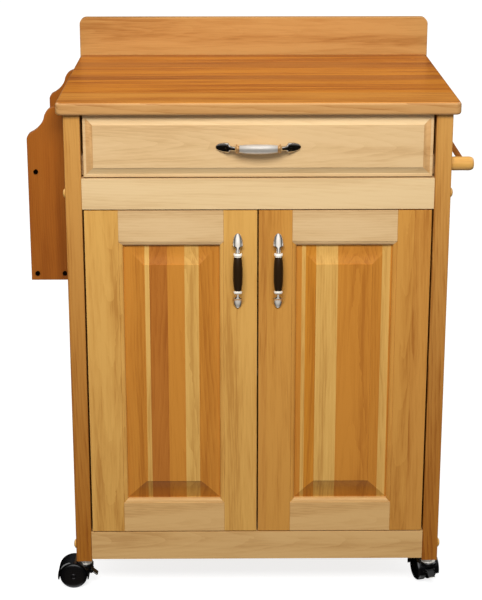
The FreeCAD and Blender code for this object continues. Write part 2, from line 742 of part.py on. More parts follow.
def build_runners():
    """Two L-shaped ledges between the front and rear legs, which the drawer slides on."""
    runners = []
    for side in SIDES:
        length = "back_face - box_front - panel_fit"
        web = box(
            f"runner_web_{side}", across(side, "inner_half - runner_web", "inner_half"),
            "box_front + panel_fit", "drawer_foot", "runner_web", length, "runner_height",
        )
        ledge = box(
            f"runner_ledge_{side}", across(side, "inner_half - runner_ledge", "inner_half"),
            "box_front + panel_fit", "drawer_foot", "runner_ledge", length, "runner_thickness",
        )
        runners.append(fuse(f"runner_{side}", web, ledge))
    node("drawer_runners", group("drawer_runners", runners))


# --- towel bar --------------------------------------------------------------------------------------


def towel_screw_bore(end, name):
    return rod(
        f"{name}_towel_screw_bore", "x", "middle + inner_half", leg_line(end), "towel_height",
        "screw_radius + fit", "screw_head_height + screw_length",
    )


def towel_rail_rod(name, play):
    """The towel rail's cylinder: it ends at the arms' middles."""
    return rod(
        name, "y", "middle + half_width + towel_rail_reach", f"front_leg_middle - {play}", "towel_height",
        f"towel_rail_radius + {play}", f"rear_leg_middle - front_leg_middle + 2 * {play}",
    )


def build_towel_bar():
    """Two round arms, bored for the rail and for the screws that hold them to the legs."""
    arms = []
    for end in ENDS:
        body = new_body(
            f"towel_arm_{end}", "middle + half_width", leg_line(end), "towel_height",
            Rotation(Vector(0, 1, 0), 90),
        )
        sketch = new_sketch(body, "XY_Plane")
        circle(sketch, "0", "0", "towel_arm_radius")
        pad(body, sketch, "towel_reach")
        tip = number("towel_reach")
        round_edges(body, "towel_arm_round", lambda at, along: at.z > tip - ON_FACE)
        arms.append(cut(
            f"towel_arm_{end}_bored", body, towel_rail_rod(f"arm_bore_{end}", "fit"),
            towel_screw_bore(end, f"arm_{end}"),
        ))
    node("towel_arms", group("towel_arms", arms))
    node("towel_rail", towel_rail_rod("towel_rail", "0"))


# --- side rack ----------------------------------------------------------------------------------------


def rack_spots():
    """Screws through the left side panel: (depth, height) into the front end and the rack's shelf."""
    end_middle = "rack_front + rack_board / 2"
    shelf_middle = "rack_foot + rack_shelf_lift + rack_shelf_thickness / 2"
    return [
        (end_middle, "rack_foot + rack_screw_inset"),
        (end_middle, "underside - rack_screw_inset"),
        ("rack_front + rack_length / 3", shelf_middle),
        ("rack_front + rack_length * 2 / 3", shelf_middle),
    ]


def rack_bore(name, y, z):
    return rod(
        name, "x", "middle - side_face - short_screw_length", y, z, "screw_radius + fit", "short_screw_length",
    )


def rack_end_spots():
    """Screws through a rack end: (distance out from the legs, height)."""
    shelf_middle = "rack_foot + rack_shelf_lift + rack_shelf_thickness / 2"
    return [
        ("rack_depth - guard_inset - guard_thickness / 2", "underside - guard_drop"),
        ("rack_depth - shelf_screw_inset", shelf_middle),
        ("shelf_screw_inset", shelf_middle),
    ]


def rack_end_screw(name, end, out, z, play):
    """Axis cylinder of a screw through a rack end."""
    low_y = depth_of(end, "rack_front", "rack_rear - screw_length")
    return rod(name, "y", f"middle - half_width - ({out})", low_y, z, f"screw_radius + {play}", "screw_length")


def build_rack():
    """Two ends with a double-curved top, a shelf between their feet and a guard rail."""
    outline = [
        ("0", "0"), ("rack_depth", "0"), ("rack_depth", "rack_height - rack_nose_foot"),
        ("rack_depth - rack_nose_inset", "rack_height - rack_nose_top"),
        ("rack_depth - rack_hollow_inset", "rack_height - rack_hollow_top"),
        ("rack_flat", "rack_height"), ("0", "rack_height"),
    ]
    arcs = {2: ("rack_nose", True), 3: ("rack_hollow", False), 4: ("rack_round", True)}
    for end in ENDS:
        low_y = depth_of(end, "rack_front", "rack_rear - rack_board")
        body = new_body(
            f"rack_end_{end}", "middle - half_width", f"{low_y} + rack_board", "rack_foot",
            Rotation(Vector(0, 0, 1), 180),
        )
        sketch = new_sketch(body, "XZ_Plane")
        draw_outline(sketch, outline, arcs)
        pad(body, sketch, "rack_board", backwards=True)
        tools = [
            rack_end_screw(f"rack_{end}_bore_{index}", end, out, z, "fit")
            for index, (out, z) in enumerate(rack_end_spots())
        ]
        if end == "front":
            tools += [rack_bore(f"rack_end_bore_{index}", *spot) for index, spot in enumerate(rack_spots()[:2])]
        node(f"rack_end_{end}", cut(f"rack_end_{end}_drilled", body, *tools))
    inner_length = "rack_length - 2 * rack_board"
    shelf = box(
        "rack_shelf_board", "middle - half_width - rack_depth + guard_inset / 2", "rack_front + rack_board",
        "rack_foot + rack_shelf_lift", "rack_depth - guard_inset / 2", inner_length, "rack_shelf_thickness",
    )
    tools = [rack_bore(f"rack_shelf_bore_{index}", *spot) for index, spot in enumerate(rack_spots()[2:])]
    for end in ENDS:
        tools += [
            rack_end_screw(f"rack_shelf_{end}_bore_{index}", end, out, z, "fit")
            for index, (out, z) in enumerate(rack_end_spots()[1:])
        ]
    node("rack_shelf", cut("rack_shelf_drilled", shelf, *tools))
    guard = box(
        "guard_board", "middle - half_width - rack_depth + guard_inset", "rack_front + rack_board",
        "underside - guard_drop - guard_height / 2", "guard_thickness", inner_length, "guard_height",
    )
    tools = [rack_end_screw(f"guard_bore_{end}", end, *rack_end_spots()[0], "fit") for end in ENDS]
    node("rack_guard_rail", cut("rack_guard_rail_drilled", guard, *tools))


def build_wood_screws():
    """Every wood screw: a shank under a flat round head."""
    screws = []
    for end in ENDS:
        for index, (out, z) in enumerate(rack_end_spots()):
            shank = rack_end_screw(f"rack_screw_shank_{end}_{index}", end, out, z, "0")
            head_y = depth_of(end, "rack_front - screw_head_height", "rack_rear")
            head = rod(
                f"rack_screw_head_{end}_{index}", "y", f"middle - half_width - ({out})", head_y, z,
                "screw_head_radius", "screw_head_height",
            )
            screws.append(fuse(f"rack_screw_{end}_{index}", shank, head))
    for index, (y, z) in enumerate(rack_spots()):
        shank = rod(
            f"side_screw_shank_{index}", "x", "middle - side_face - short_screw_length", y, z,
            "screw_radius", "short_screw_length",
        )
        head = rod(
            f"side_screw_head_{index}", "x", "middle - side_face", y, z, "screw_head_radius", "screw_head_height",
        )
        screws.append(fuse(f"side_screw_{index}", shank, head))
    for end in ENDS:
        shank = rod(
            f"towel_screw_shank_{end}", "x", "middle + inner_half", leg_line(end), "towel_height",
            "screw_radius", "screw_head_height + screw_length",
        )
        head = rod(
            f"towel_screw_head_{end}", "x", "middle + inner_half", leg_line(end), "towel_height",
            "screw_head_radius", "screw_head_height",
        )
        screws.append(fuse(f"towel_screw_{end}", shank, head))
    for index in range(3):
        where = ("y", splash_screw_place(index))
        level = "underside + top_thickness / 2"
        back = "rear_edge + splash_thickness"
        shank = rod(
            f"splash_screw_shank_{index}", *where, f"{back} - screw_length", level, "screw_radius", "screw_length",
        )
        head = rod(
            f"splash_screw_head_{index}", *where, f"{back} - screw_head_height", level,
            "screw_head_radius", "screw_head_height",
        )
        screws.append(fuse(f"splash_screw_{index}", shank, head))
    node("wood_screws", group("wood_screws", screws))


# --- pulls ----------------------------------------------------------------------------------------------


# A pull from its middle to its tip: share of the half length, share of the grip's standoff, half width
# and half depth. The grip ends in a neck, and the foot widens to a shoulder before it tapers.
PULL_STATIONS = [
    (0.0, 1.0, "pull_grip_radius", "pull_grip_radius"),
    (0.16, 0.985, "pull_grip_radius * 0.98", "pull_grip_radius * 0.98"),
    (0.32, 0.94, "pull_grip_radius * 0.92", "pull_grip_radius * 0.92"),
    (0.47, 0.87, "pull_grip_radius * 0.8", "pull_grip_radius * 0.8"),
    (0.5, 0.84, "pull_neck_radius", "pull_neck_radius"),
    (0.55, 0.77, "pull_neck_radius", "pull_neck_radius"),
    (0.6, 0.66, "pull_spoon_width * 0.4", "pull_neck_radius"),
    (0.66, 0.52, "pull_spoon_width / 2", "pull_neck_radius * 0.8"),
    (0.74, 0.36, "pull_spoon_width * 0.48", "pull_spoon_thickness * 0.55"),
    (0.84, 0.22, "pull_spoon_width * 0.42", "pull_spoon_thickness / 2"),
    (0.93, 0.13, "pull_spoon_width * 0.32", "pull_spoon_thickness * 0.45"),
    (1.0, 0.1, "pull_spoon_width * 0.16", "pull_spoon_thickness * 0.3"),
]


def build_pull(label, length, x, z, rotation):
    """A bowed pull: a swelling grip between narrow necks, and a spoon-shaped foot at each end."""
    standoff = "(pull_reach - pull_grip_radius)"
    rings = []
    for sign in (-1, 1):
        for along, share, wide, deep in reversed(PULL_STATIONS) if sign < 0 else PULL_STATIONS[1:]:
            ring = doc.addObject("Part::Ellipse", f"{label}_ring_{len(rings)}")
            bind(ring, MajorRadius=wide, MinorRadius=deep)
            place(ring, "0", f"-{standoff} * {share}", f"{sign * along} * {length} / 2")
            rings.append(ring)
    bow = doc.addObject("Part::Loft", f"{label}_bow")
    bow.Sections = rings
    bow.Solid = True
    bow.Ruled = True
    pieces = [bow]
    for sign, tip in ((1, "top"), (-1, "low")):
        pieces.append(rod(
            f"{label}_{tip}_boss", "y", "0", "-pull_screw_bite - panel_fit",
            f"{sign} * ({length} / 2 - pull_screw_inset)", "pull_boss_radius",
            "pull_screw_bite + panel_fit",
        ))
    whole = fuse(f"{label}_whole", *pieces)
    behind = box(
        f"{label}_behind", "-pull_spoon_width", "0", f"-{length}",
        "2 * pull_spoon_width", "pull_reach", f"2 * {length}",
    )
    tools = [behind]
    for sign, tip in ((1, "top"), (-1, "low")):
        tools.append(rod(
            f"{label}_{tip}_thread", "y", "0", "-pull_screw_bite", f"{sign} * ({length} / 2 - pull_screw_inset)",
            "pull_screw_radius + fit", "pull_screw_bite",
        ))
    pull = cut(f"{label}_shaped", whole, *tools)
    place(pull, x, "face", z, rotation)
    return node(label, pull)


def pull_screw_rods(name, centre_x, centre_z, length, upright, thickness, play):
    """Two screw shanks through a front, from its back into the pull's feet."""
    rods = []
    reach = f"({length} / 2 - pull_screw_inset)"
    for sign in (1, -1):
        x = centre_x if upright else f"{centre_x} + {sign} * {reach}"
        z = f"{centre_z} + {sign} * {reach}" if upright else centre_z
        low_y = "face - pull_screw_bite"
        rods.append(rod(
            f"{name}_{'a' if sign > 0 else 'b'}", "y", x, low_y, z, f"pull_screw_radius + {play}",
            f"pull_screw_bite + {thickness}",
        ))
    return rods


def build_pull_screws(label, centre_x, centre_z, length, upright, thickness):
    """Machine screws whose pan heads seat on the back of the front."""
    screws = []
    shanks = pull_screw_rods(label + "_shank", centre_x, centre_z, length, upright, thickness, "0")
    reach = f"({length} / 2 - pull_screw_inset)"
    for shank, sign in zip(shanks, (1, -1)):
        x = centre_x if upright else f"{centre_x} + {sign} * {reach}"
        z = f"{centre_z} + {sign} * {reach}" if upright else centre_z
        head = rod(
            f"{shank.Name}_head", "y", x, f"face + {thickness}", z, "screw_head_radius", "screw_head_height",
        )
        screws.append(fuse(f"{shank.Name}_screw", shank, head))
    node(label, group(label, screws))


# --- doors --------------------------------------------------------------------------------------------------


def build_door(side):
    """A frame of two stiles and two rails round a raised panel. The hinge stile is next to the leg."""
    name = f"{side}_door"
    left = across(side, "door_middle_gap / 2", "door_middle_gap / 2 + door_width")
    wide = "door_width"
    high = "door_height"
    funnel = frustum(
        f"{name}_funnel", f"{left} + flat_width", "face", "door_foot + flat_width", "moulding_depth",
        ("0", "opening_width + 2 * moulding_width", "opening_height + 2 * moulding_width"),
        ("moulding_width", "opening_width", "opening_height"),
    )
    groove = box(
        f"{name}_groove", f"{left} + stile_width - panel_groove", "face + panel_setback - 2 * fit",
        "door_foot + stile_width - panel_groove", "opening_width + 2 * panel_groove",
        "panel_thickness + 4 * fit", "opening_height + 2 * panel_groove",
    )
    flat = "flat_width"
    deep = "stile_width"
    left_stile = [
        ("0", "0"), (flat, "0"), (flat, flat), (deep, deep), (deep, f"{high} - {deep}"),
        (flat, f"{high} - {flat}"), (flat, high), ("0", high),
    ]
    right_stile = [
        (wide, "0"), (wide, high), (f"{wide} - {flat}", high), (f"{wide} - {flat}", f"{high} - {flat}"),
        (f"{wide} - {deep}", f"{high} - {deep}"), (f"{wide} - {deep}", deep),
        (f"{wide} - {flat}", flat), (f"{wide} - {flat}", "0"),
    ]
    low_rail = [
        (flat, "0"), (f"{wide} - {flat}", "0"), (f"{wide} - {flat}", flat),
        (f"{wide} - {deep}", deep), (deep, deep), (flat, flat),
    ]
    top_rail = [
        (flat, high), (flat, f"{high} - {flat}"), (deep, f"{high} - {deep}"),
        (f"{wide} - {deep}", f"{high} - {deep}"), (f"{wide} - {flat}", f"{high} - {flat}"),
        (f"{wide} - {flat}", high),
    ]
    outlines = {"left": left_stile, "right": right_stile}
    meeting = "right" if side == "left" else "left"
    pull_x = f"{left} + door_width - door_pull_inset" if side == "left" else f"{left} + door_pull_inset"
    pull_z = "door_foot + door_height - door_pull_drop"
    pins = [
        pin_rod(f"{name}_low_bore", side, "door_foot", "fit"),
        pin_rod(f"{name}_top_bore", side, "door_foot + door_height - pivot_depth - fit", "fit"),
    ]
    screws = pull_screw_rods(
        f"{name}_screw_bore", pull_x, pull_z, "door_pull_length", True, "door_thickness", "fit",
    )
    hinge_body = door_member(f"{name}_hinge_board", left, outlines[side])
    node(f"{name}_hinge_stile", cut(f"{name}_hinge_stile_worked", hinge_body, funnel, groove, *pins))
    meeting_body = door_member(f"{name}_meeting_board", left, outlines[meeting])
    node(f"{name}_meeting_stile", cut(f"{name}_meeting_stile_worked", meeting_body, funnel, groove, *screws))
    rails = []
    for level, outline in (("low", low_rail), ("top", top_rail)):
        board = door_member(f"{name}_{level}_board", left, outline)
        rails.append(cut(f"{name}_{level}_rail_worked", board, funnel, groove))
    node(f"{name}_rails", group(f"{name}_rails", rails))
    build_door_panel(name, left)
    upright = Rotation()
    build_pull(f"{name}_pull", "door_pull_length", pull_x, pull_z, upright)
    build_pull_screws(f"{name}_pull_screws", pull_x, pull_z, "door_pull_length", True, "door_thickness")
    strike_x = f"{left} + door_width - strike_inset - strike_width" if side == "left" else f"{left} + strike_inset"
    node(f"{side}_door_strike", box(
        f"{side}_door_strike", strike_x, "face + door_thickness",
        "door_foot + door_height - strike_height - panel_fit", "strike_width", "strike_thickness", "strike_height",
    ))


def door_member(name, left, outline):
    """A board of the door's frame, cut from its outline in the door's plane."""
    body = new_body(name, left, "face", "door_foot")
    sketch = new_sketch(body, "XZ_Plane")
    draw_outline(sketch, outline)
    pad(body, sketch, "door_thickness", backwards=True)
    return body


def build_door_panel(name, left):
    """The raised panel: a tongue in the frame's groove, a bevel and a raised field."""
    play = "panel_fit"
    reach = f"(panel_groove - {play})"
    tongue = box(
        f"{name}_tongue", f"{left} + stile_width - {reach}", "face + panel_setback",
        f"door_foot + stile_width - {reach}", f"opening_width + 2 * {reach}", "panel_thickness",
        f"opening_height + 2 * {reach}",
    )
    rise = "panel_setback - panel_field_setback - panel_step"
    bevel = frustum(
        f"{name}_bevel", f"{left} + stile_width + {play}", "face + panel_field_setback + panel_step",
        f"door_foot + stile_width + {play}", rise,
        ("panel_bevel", f"opening_width - 2 * ({play} + panel_bevel)",
         f"opening_height - 2 * ({play} + panel_bevel)"),
        ("0", f"opening_width - 2 * {play}", f"opening_height - 2 * {play}"),
    )
    inset = f"(stile_width + {play} + panel_bevel)"
    field = box(
        f"{name}_field", f"{left} + {inset}", "face + panel_field_setback", f"door_foot + {inset}",
        f"door_width - 2 * {inset}", f"panel_step + {rise}", f"door_height - 2 * {inset}",
    )
    node(f"{name}_panel", fuse(f"{name}_panel", tongue, bevel, field))


def build_door_fittings():
    """Pivot pins between rails and doors, and catches behind the middle rail."""
    pins = []
    for side in SIDES:
        span = "2 * pivot_depth + stack_gap"
        pins.append(pin_rod(f"low_pin_{side}", side, "floor_top - pivot_depth", "0", span))
        top = "door_foot + door_height - pivot_depth"
        pins.append(pin_rod(f"high_pin_{side}", side, top, "0", span))
    node("door_pins", group("door_pins", pins))
    catches = []
    for side in SIDES:
        x = across(side, "door_middle_gap / 2 + strike_inset", "door_middle_gap / 2 + strike_inset + strike_width")
        front = "face + door_thickness + strike_thickness + seat"
        rear = "rail_back + catch_depth"
        head = box(
            f"catch_head_{side}", x, front, "middle_rail_foot - catch_drop",
            "strike_width", f"{rear} - ({front})", "catch_drop",
        )
        foot = box(
            f"catch_foot_{side}", x, "rail_back", "middle_rail_foot",
            "strike_width", "catch_depth", "catch_rise",
        )
        catches.append(fuse(f"catch_{side}", head, foot))
    node("door_catches", group("door_catches", catches))


# --- drawer ---------------------------------------------------------------------------------------------------


def build_drawer():
    """An inset front with a raised field, and a box with its bottom in grooves."""
    wide = "2 * (inner_half - drawer_side_gap)"
    high = "drawer_front_height"
    left = "middle - inner_half + drawer_side_gap"
    pull_z = "drawer_foot + drawer_front_height / 2"
    plate = box(
        "drawer_front_plate", left, "face + drawer_relief", "drawer_foot", wide,
        "drawer_front_thickness - drawer_relief", high,
    )
    raised = frustum(
        "drawer_front_field", f"{left} + drawer_lip", "face", "drawer_foot + drawer_lip", "drawer_relief",
        ("drawer_bevel", f"{wide} - 2 * (drawer_lip + drawer_bevel)", f"{high} - 2 * (drawer_lip + drawer_bevel)"),
        ("0", f"{wide} - 2 * drawer_lip", f"{high} - 2 * drawer_lip"),
    )
    bores = pull_screw_rods(
        "drawer_screw_bore", "middle", pull_z, "drawer_pull_length", False, "drawer_front_thickness", "fit",
    )
    board = fuse("drawer_front_board", plate, raised)
    node("drawer_front", cut("drawer_front_bored", board, *bores))
    inner = "box_half - drawer_wall"
    for side in SIDES:
        wall = box(
            f"drawer_wall_{side}", across(side, inner, "box_half"), "box_front", "box_foot",
            "drawer_wall", "drawer_depth", "drawer_wall_height",
        )
        slot = box(
            f"drawer_slot_{side}", across(side, inner, f"{inner} + groove_depth + fit"), "box_front",
            "bottom_foot - fit", "groove_depth + fit", "drawer_depth", "drawer_bottom_thickness + 2 * fit",
        )
        node(f"drawer_side_{side}", cut(f"drawer_side_{side}_grooved", wall, slot))
    node("drawer_bottom", box(
        "drawer_bottom", f"middle - ({inner} + groove_depth)", "box_front", "bottom_foot",
        f"2 * ({inner} + groove_depth)", "drawer_depth", "drawer_bottom_thickness",
    ))
    above = "drawer_bottom_lift + drawer_bottom_thickness"
    node("drawer_back", box(
        "drawer_back", f"middle - ({inner})", "box_front + drawer_depth - drawer_wall", f"box_foot + {above}",
        f"2 * ({inner})", "drawer_wall", f"drawer_wall_height - ({above})",
    ))
    build_pull("drawer_pull", "drawer_pull_length", "middle", pull_z, Rotation(Vector(0, 1, 0), 90))
    build_pull_screws(
        "drawer_pull_screws", "middle", pull_z, "drawer_pull_length", False, "drawer_front_thickness",
    )


# --- casters ----------------------------------------------------------------------------------------------------


def stand_caster(thing, side, end):
    """Put a caster piece, made about its swivel axis with its wheel towards +X, under its leg."""
    turn = f"turn_{end}_{side}"
    place(thing, across(side, "leg_middle", "leg_middle"), leg_line(end), "0",
          Rotation(Vector(0, 0, 1), number(turn)))
    thing.setExpression("Placement.Rotation.Angle", expand(turn))
    return thing


def hub_rod(name, low_y, radius, length):
    """A cylinder along the wheel's axle."""
    return rod(name, "y", "caster_trail", low_y, "wheel_radius", radius, length)


def brake_pivot():
    """Brake pivot in the caster's own plane: (x, z)."""
    return (
        "caster_trail - brake_reach * cos(brake_rise)",
        "wheel_radius + brake_reach * sin(brake_rise)",
    )


def build_hood(name, side, end):
    """The hood over both wheels, its web, its boss with the stem, and ears for the brake in front."""
    drum = hub_rod(f"{name}_drum", "-hood_width / 2", "hood_outer", "hood_width")
    hollow = hub_rod(f"{name}_hollow", "-hood_width", "hood_inner", "2 * hood_width")
    above = box(
        f"{name}_above", "caster_trail - 2 * hood_outer", "-hood_width", "hood_hem",
        "4 * hood_outer", "2 * hood_width", "2 * hood_outer",
    )
    cover = common(f"{name}_cover", cut(f"{name}_shell", drum, hollow), above)
    disc = hub_rod(f"{name}_disc", "-web_thickness / 2", "hood_outer - seat", "web_thickness")
    web = common(f"{name}_web", disc, above)
    hub = hub_rod(f"{name}_hub", "-web_thickness / 2", "hub_radius", "web_thickness")
    top = "leg_foot - flange_thickness - seat"
    boss_blank = rod(f"{name}_boss_blank", "z", "0", "0", "wheel_radius", "boss_radius", f"{top} - wheel_radius")
    boss = cut(f"{name}_boss", boss_blank, hollow)
    pieces = [cover, web, hub, boss]
    seat_z = f"{top} - stem_depth"
    bores = [
        hub_rod(f"{name}_axle_bore", "-web_thickness", "axle_radius + fit", "2 * web_thickness"),
        rod(f"{name}_stem_bore", "z", "0", "0", seat_z, "stem_radius + fit", "2 * stem_depth"),
    ]
    solids = []
    if end == "front":
        x, z = brake_pivot()
        for sign in (1, -1):
            low_y = f"{sign} * (brake_width / 2 + seat + brake_ear / 2) - brake_ear / 2"
            pieces.append(rod(f"{name}_ear_{sign + 1}", "y", x, low_y, z, "brake_knuckle + panel_fit", "brake_ear"))
            pieces.append(box(
                f"{name}_lug_{sign + 1}", x, low_y, z, "brake_reach - hood_inner",
                "brake_ear", "brake_knuckle + panel_fit",
            ))
        span = "brake_width + 2 * (seat + brake_ear)"
        bores.append(rod(f"{name}_brake_bore", "y", x, f"-({span}) / 2", z, "brake_pin_radius + fit", span))
        solids.append(rod(f"{name}_brake_pin", "y", x, f"-({span}) / 2", z, "brake_pin_radius", span))
        bores.append(rod(
            f"{name}_knuckle_room", "y", x, "-brake_width / 2 - seat", z, "brake_knuckle + seat",
            "brake_width + 2 * seat",
        ))
    whole = fuse(f"{name}_whole", *pieces)
    solids.insert(0, cut(f"{name}_plastic", whole, *bores))
    solids.append(rod(
        f"{name}_stem", "z", "0", "0", seat_z, "stem_radius", f"leg_foot + stem_length - ({seat_z})",
    ))
    node(name, stand_caster(group(name + "_group", solids), side, end))


def build_wheels(name, side, end):
    """Two wheels with rounded tyres on one axle."""
    solids = []
    bore = "axle_radius + fit"
    for sign in (1, -1):
        turn = Rotation(Vector(1, 0, 0), -90 * sign)
        start = f"{sign} * (web_thickness / 2 + seat)"
        body = new_body(f"{name}_wheel_{sign + 1}", "caster_trail", start, "wheel_radius", turn)
        sketch = new_sketch(body, "XZ_Plane")
        outline = [
            (bore, "0"), ("wheel_radius", "0"), ("wheel_radius", "wheel_width - wheel_crown"),
            ("wheel_radius - wheel_crown", "wheel_width"), (bore, "wheel_width"),
        ]
        draw_outline(sketch, outline, {2: ("wheel_crown", True)})
        revolve(body, sketch)
        solids.append(body)
    half = "web_thickness / 2 + seat + wheel_width"
    solids.append(hub_rod(f"{name}_axle", f"-({half})", "axle_radius", f"2 * ({half})"))
    node(name, stand_caster(group(name + "_group", solids), side, end))


def build_brake(name, side, end):
    """A foot lever: a knuckle on the brake pin and a blade that slopes down and outwards."""
    x, z = brake_pivot()
    knuckle = rod(f"{name}_knuckle", "y", x, "-brake_width / 2", z, "brake_knuckle", "brake_width")
    blade = box(f"{name}_blade", x, "-brake_width / 2", z, "brake_length", "brake_width", "brake_thickness")
    blade.Placement = Placement(Vector(0, 0, 0), Rotation(Vector(0, 1, 0), 180 - number("brake_droop")))
    place(blade, x, "-brake_width / 2", z)
    blade.setExpression("Placement.Rotation.Angle", expand("180 - brake_droop"))
    bore = rod(f"{name}_bore", "y", x, "-brake_width", z, "brake_pin_radius + fit", "2 * brake_width")
    lever = cut(f"{name}_lever", fuse(f"{name}_blank", knuckle, blade), bore)
    node(name, stand_caster(lever, side, end))


def build_casters():
    """Four casters and their sockets. Only the front pair has brakes."""
    sockets = []
    for end in ENDS:
        for side in SIDES:
            x = across(side, "leg_middle", "leg_middle")
            flange_foot = "leg_foot - flange_thickness"
            name = f"caster_{end}_{side}"
            sleeve = rod(f"{name}_sleeve", "z", x, leg_line(end), flange_foot, "socket_radius",
                         "flange_thickness + socket_length")
            flange = rod(f"{name}_flange", "z", x, leg_line(end), flange_foot, "flange_radius", "flange_thickness")
            bore = rod(f"{name}_socket_bore", "z", x, leg_line(end), flange_foot, "stem_radius + fit",
                       "2 * socket_length")
            sockets.append(cut(f"{name}_socket", fuse(f"{name}_socket_blank", sleeve, flange), bore))
            build_hood(f"{name}_hood", side, end)
            build_wheels(f"{name}_wheels", side, end)
            if end == "front":
                build_brake(f"{name}_brake", side, end)
    node("caster_sockets", group("caster_sockets", sockets))


def check_document():
    """Stop if any object failed, or if a sub-part's shape can't be used."""
    for thing in doc.Objects:
        if {"Invalid", "Error"} & set(thing.State):
            raise RuntimeError(f"{thing.Name} failed: {thing.State}")
    for label, thing in NODES.items():
        if thing.Shape.isNull() or not thing.Shape.isValid():
            raise RuntimeError(f"{label} has no valid shape")


def main():
    fill_sheets()
    build_worktop()
    build_backsplash()
    for end in ENDS:
        for side in SIDES:
            build_leg(side, end)
    build_rails()
    build_leg_fasteners()
    build_panels()
    build_runners()
    build_towel_bar()
    build_rack()
    build_wood_screws()
    for side in SIDES:
        build_door(side)
    build_door_fittings()
    build_drawer()
    build_casters()
    doc.recompute()
    check_document()
    os.makedirs("parts", exist_ok=True)
    for label, thing in NODES.items():
        thing.Shape.exportStep(f"parts/{label}.step")
        print(f"{label:32s} {len(thing.Shape.Solids):3d} solids {thing.Shape.Volume / 1000:10.1f} cm3")


main()
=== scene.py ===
"""Rolling butcher block kitchen table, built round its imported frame.

Every length is in metres in the frame's own axes: +Z is up and the doors face -Y.
"""

import json
import math

import bmesh
import bpy
from mathutils import Matrix, Vector


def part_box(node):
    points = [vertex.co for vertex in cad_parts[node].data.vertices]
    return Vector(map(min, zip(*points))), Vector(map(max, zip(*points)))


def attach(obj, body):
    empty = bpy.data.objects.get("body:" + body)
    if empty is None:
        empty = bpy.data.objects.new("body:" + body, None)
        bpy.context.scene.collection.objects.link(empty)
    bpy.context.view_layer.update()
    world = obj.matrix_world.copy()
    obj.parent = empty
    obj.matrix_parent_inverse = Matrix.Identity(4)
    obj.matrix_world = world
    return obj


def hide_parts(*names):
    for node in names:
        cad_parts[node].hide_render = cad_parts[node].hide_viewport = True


bl_info = {
    "name": "Butcher Block Kitchen Table",
    "version": (1, 0, 0),
    "blender": (4, 5, 0),
    "location": "View3D > Sidebar > Butcher Block",
    "description": "Builds a rolling kitchen table with a butcher block top, a drawer and two doors",
    "category": "Add Mesh",
}

EPSILON = 1e-5
DOUBLES = 1e-6
AROUND = 2 * math.pi
X, Y, Z = 0, 1, 2

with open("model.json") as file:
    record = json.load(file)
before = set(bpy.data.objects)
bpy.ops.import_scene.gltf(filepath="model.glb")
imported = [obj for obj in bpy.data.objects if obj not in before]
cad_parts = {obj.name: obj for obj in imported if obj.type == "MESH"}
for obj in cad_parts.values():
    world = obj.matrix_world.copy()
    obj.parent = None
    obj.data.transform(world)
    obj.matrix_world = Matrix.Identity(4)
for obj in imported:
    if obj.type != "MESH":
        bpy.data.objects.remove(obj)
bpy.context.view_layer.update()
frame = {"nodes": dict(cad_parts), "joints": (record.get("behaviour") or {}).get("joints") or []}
JOINTS = {joint["name"]: joint for joint in frame["joints"]}
CASTERS = ("front_left", "front_right", "rear_left", "rear_right")
made_materials = {}


def srgb(red, green, blue):
    """A screen colour, 0 to 255 a channel, as the linear colour that Blender mixes."""
    return tuple((max(c, 11) / 255 + 0.055) ** 2.4 / 1.055**2.4 for c in (red, green, blue))


# --- properties ---------------------------------------------------------------------------------


def paint(title, note, red, green, blue):
    """A colour setting, given as a screen colour."""
    return bpy.props.FloatVectorProperty(
        name=title, description=note, default=srgb(red, green, blue), subtype="COLOR", min=0, max=1)


def measure(title, note, metres):
    """A length setting."""
    return bpy.props.FloatProperty(name=title, description=note, default=metres, unit="LENGTH")


def strength(title, note, amount):
    """A setting for how strong a light is."""
    return bpy.props.FloatProperty(name=title, description=note, default=amount, min=0)


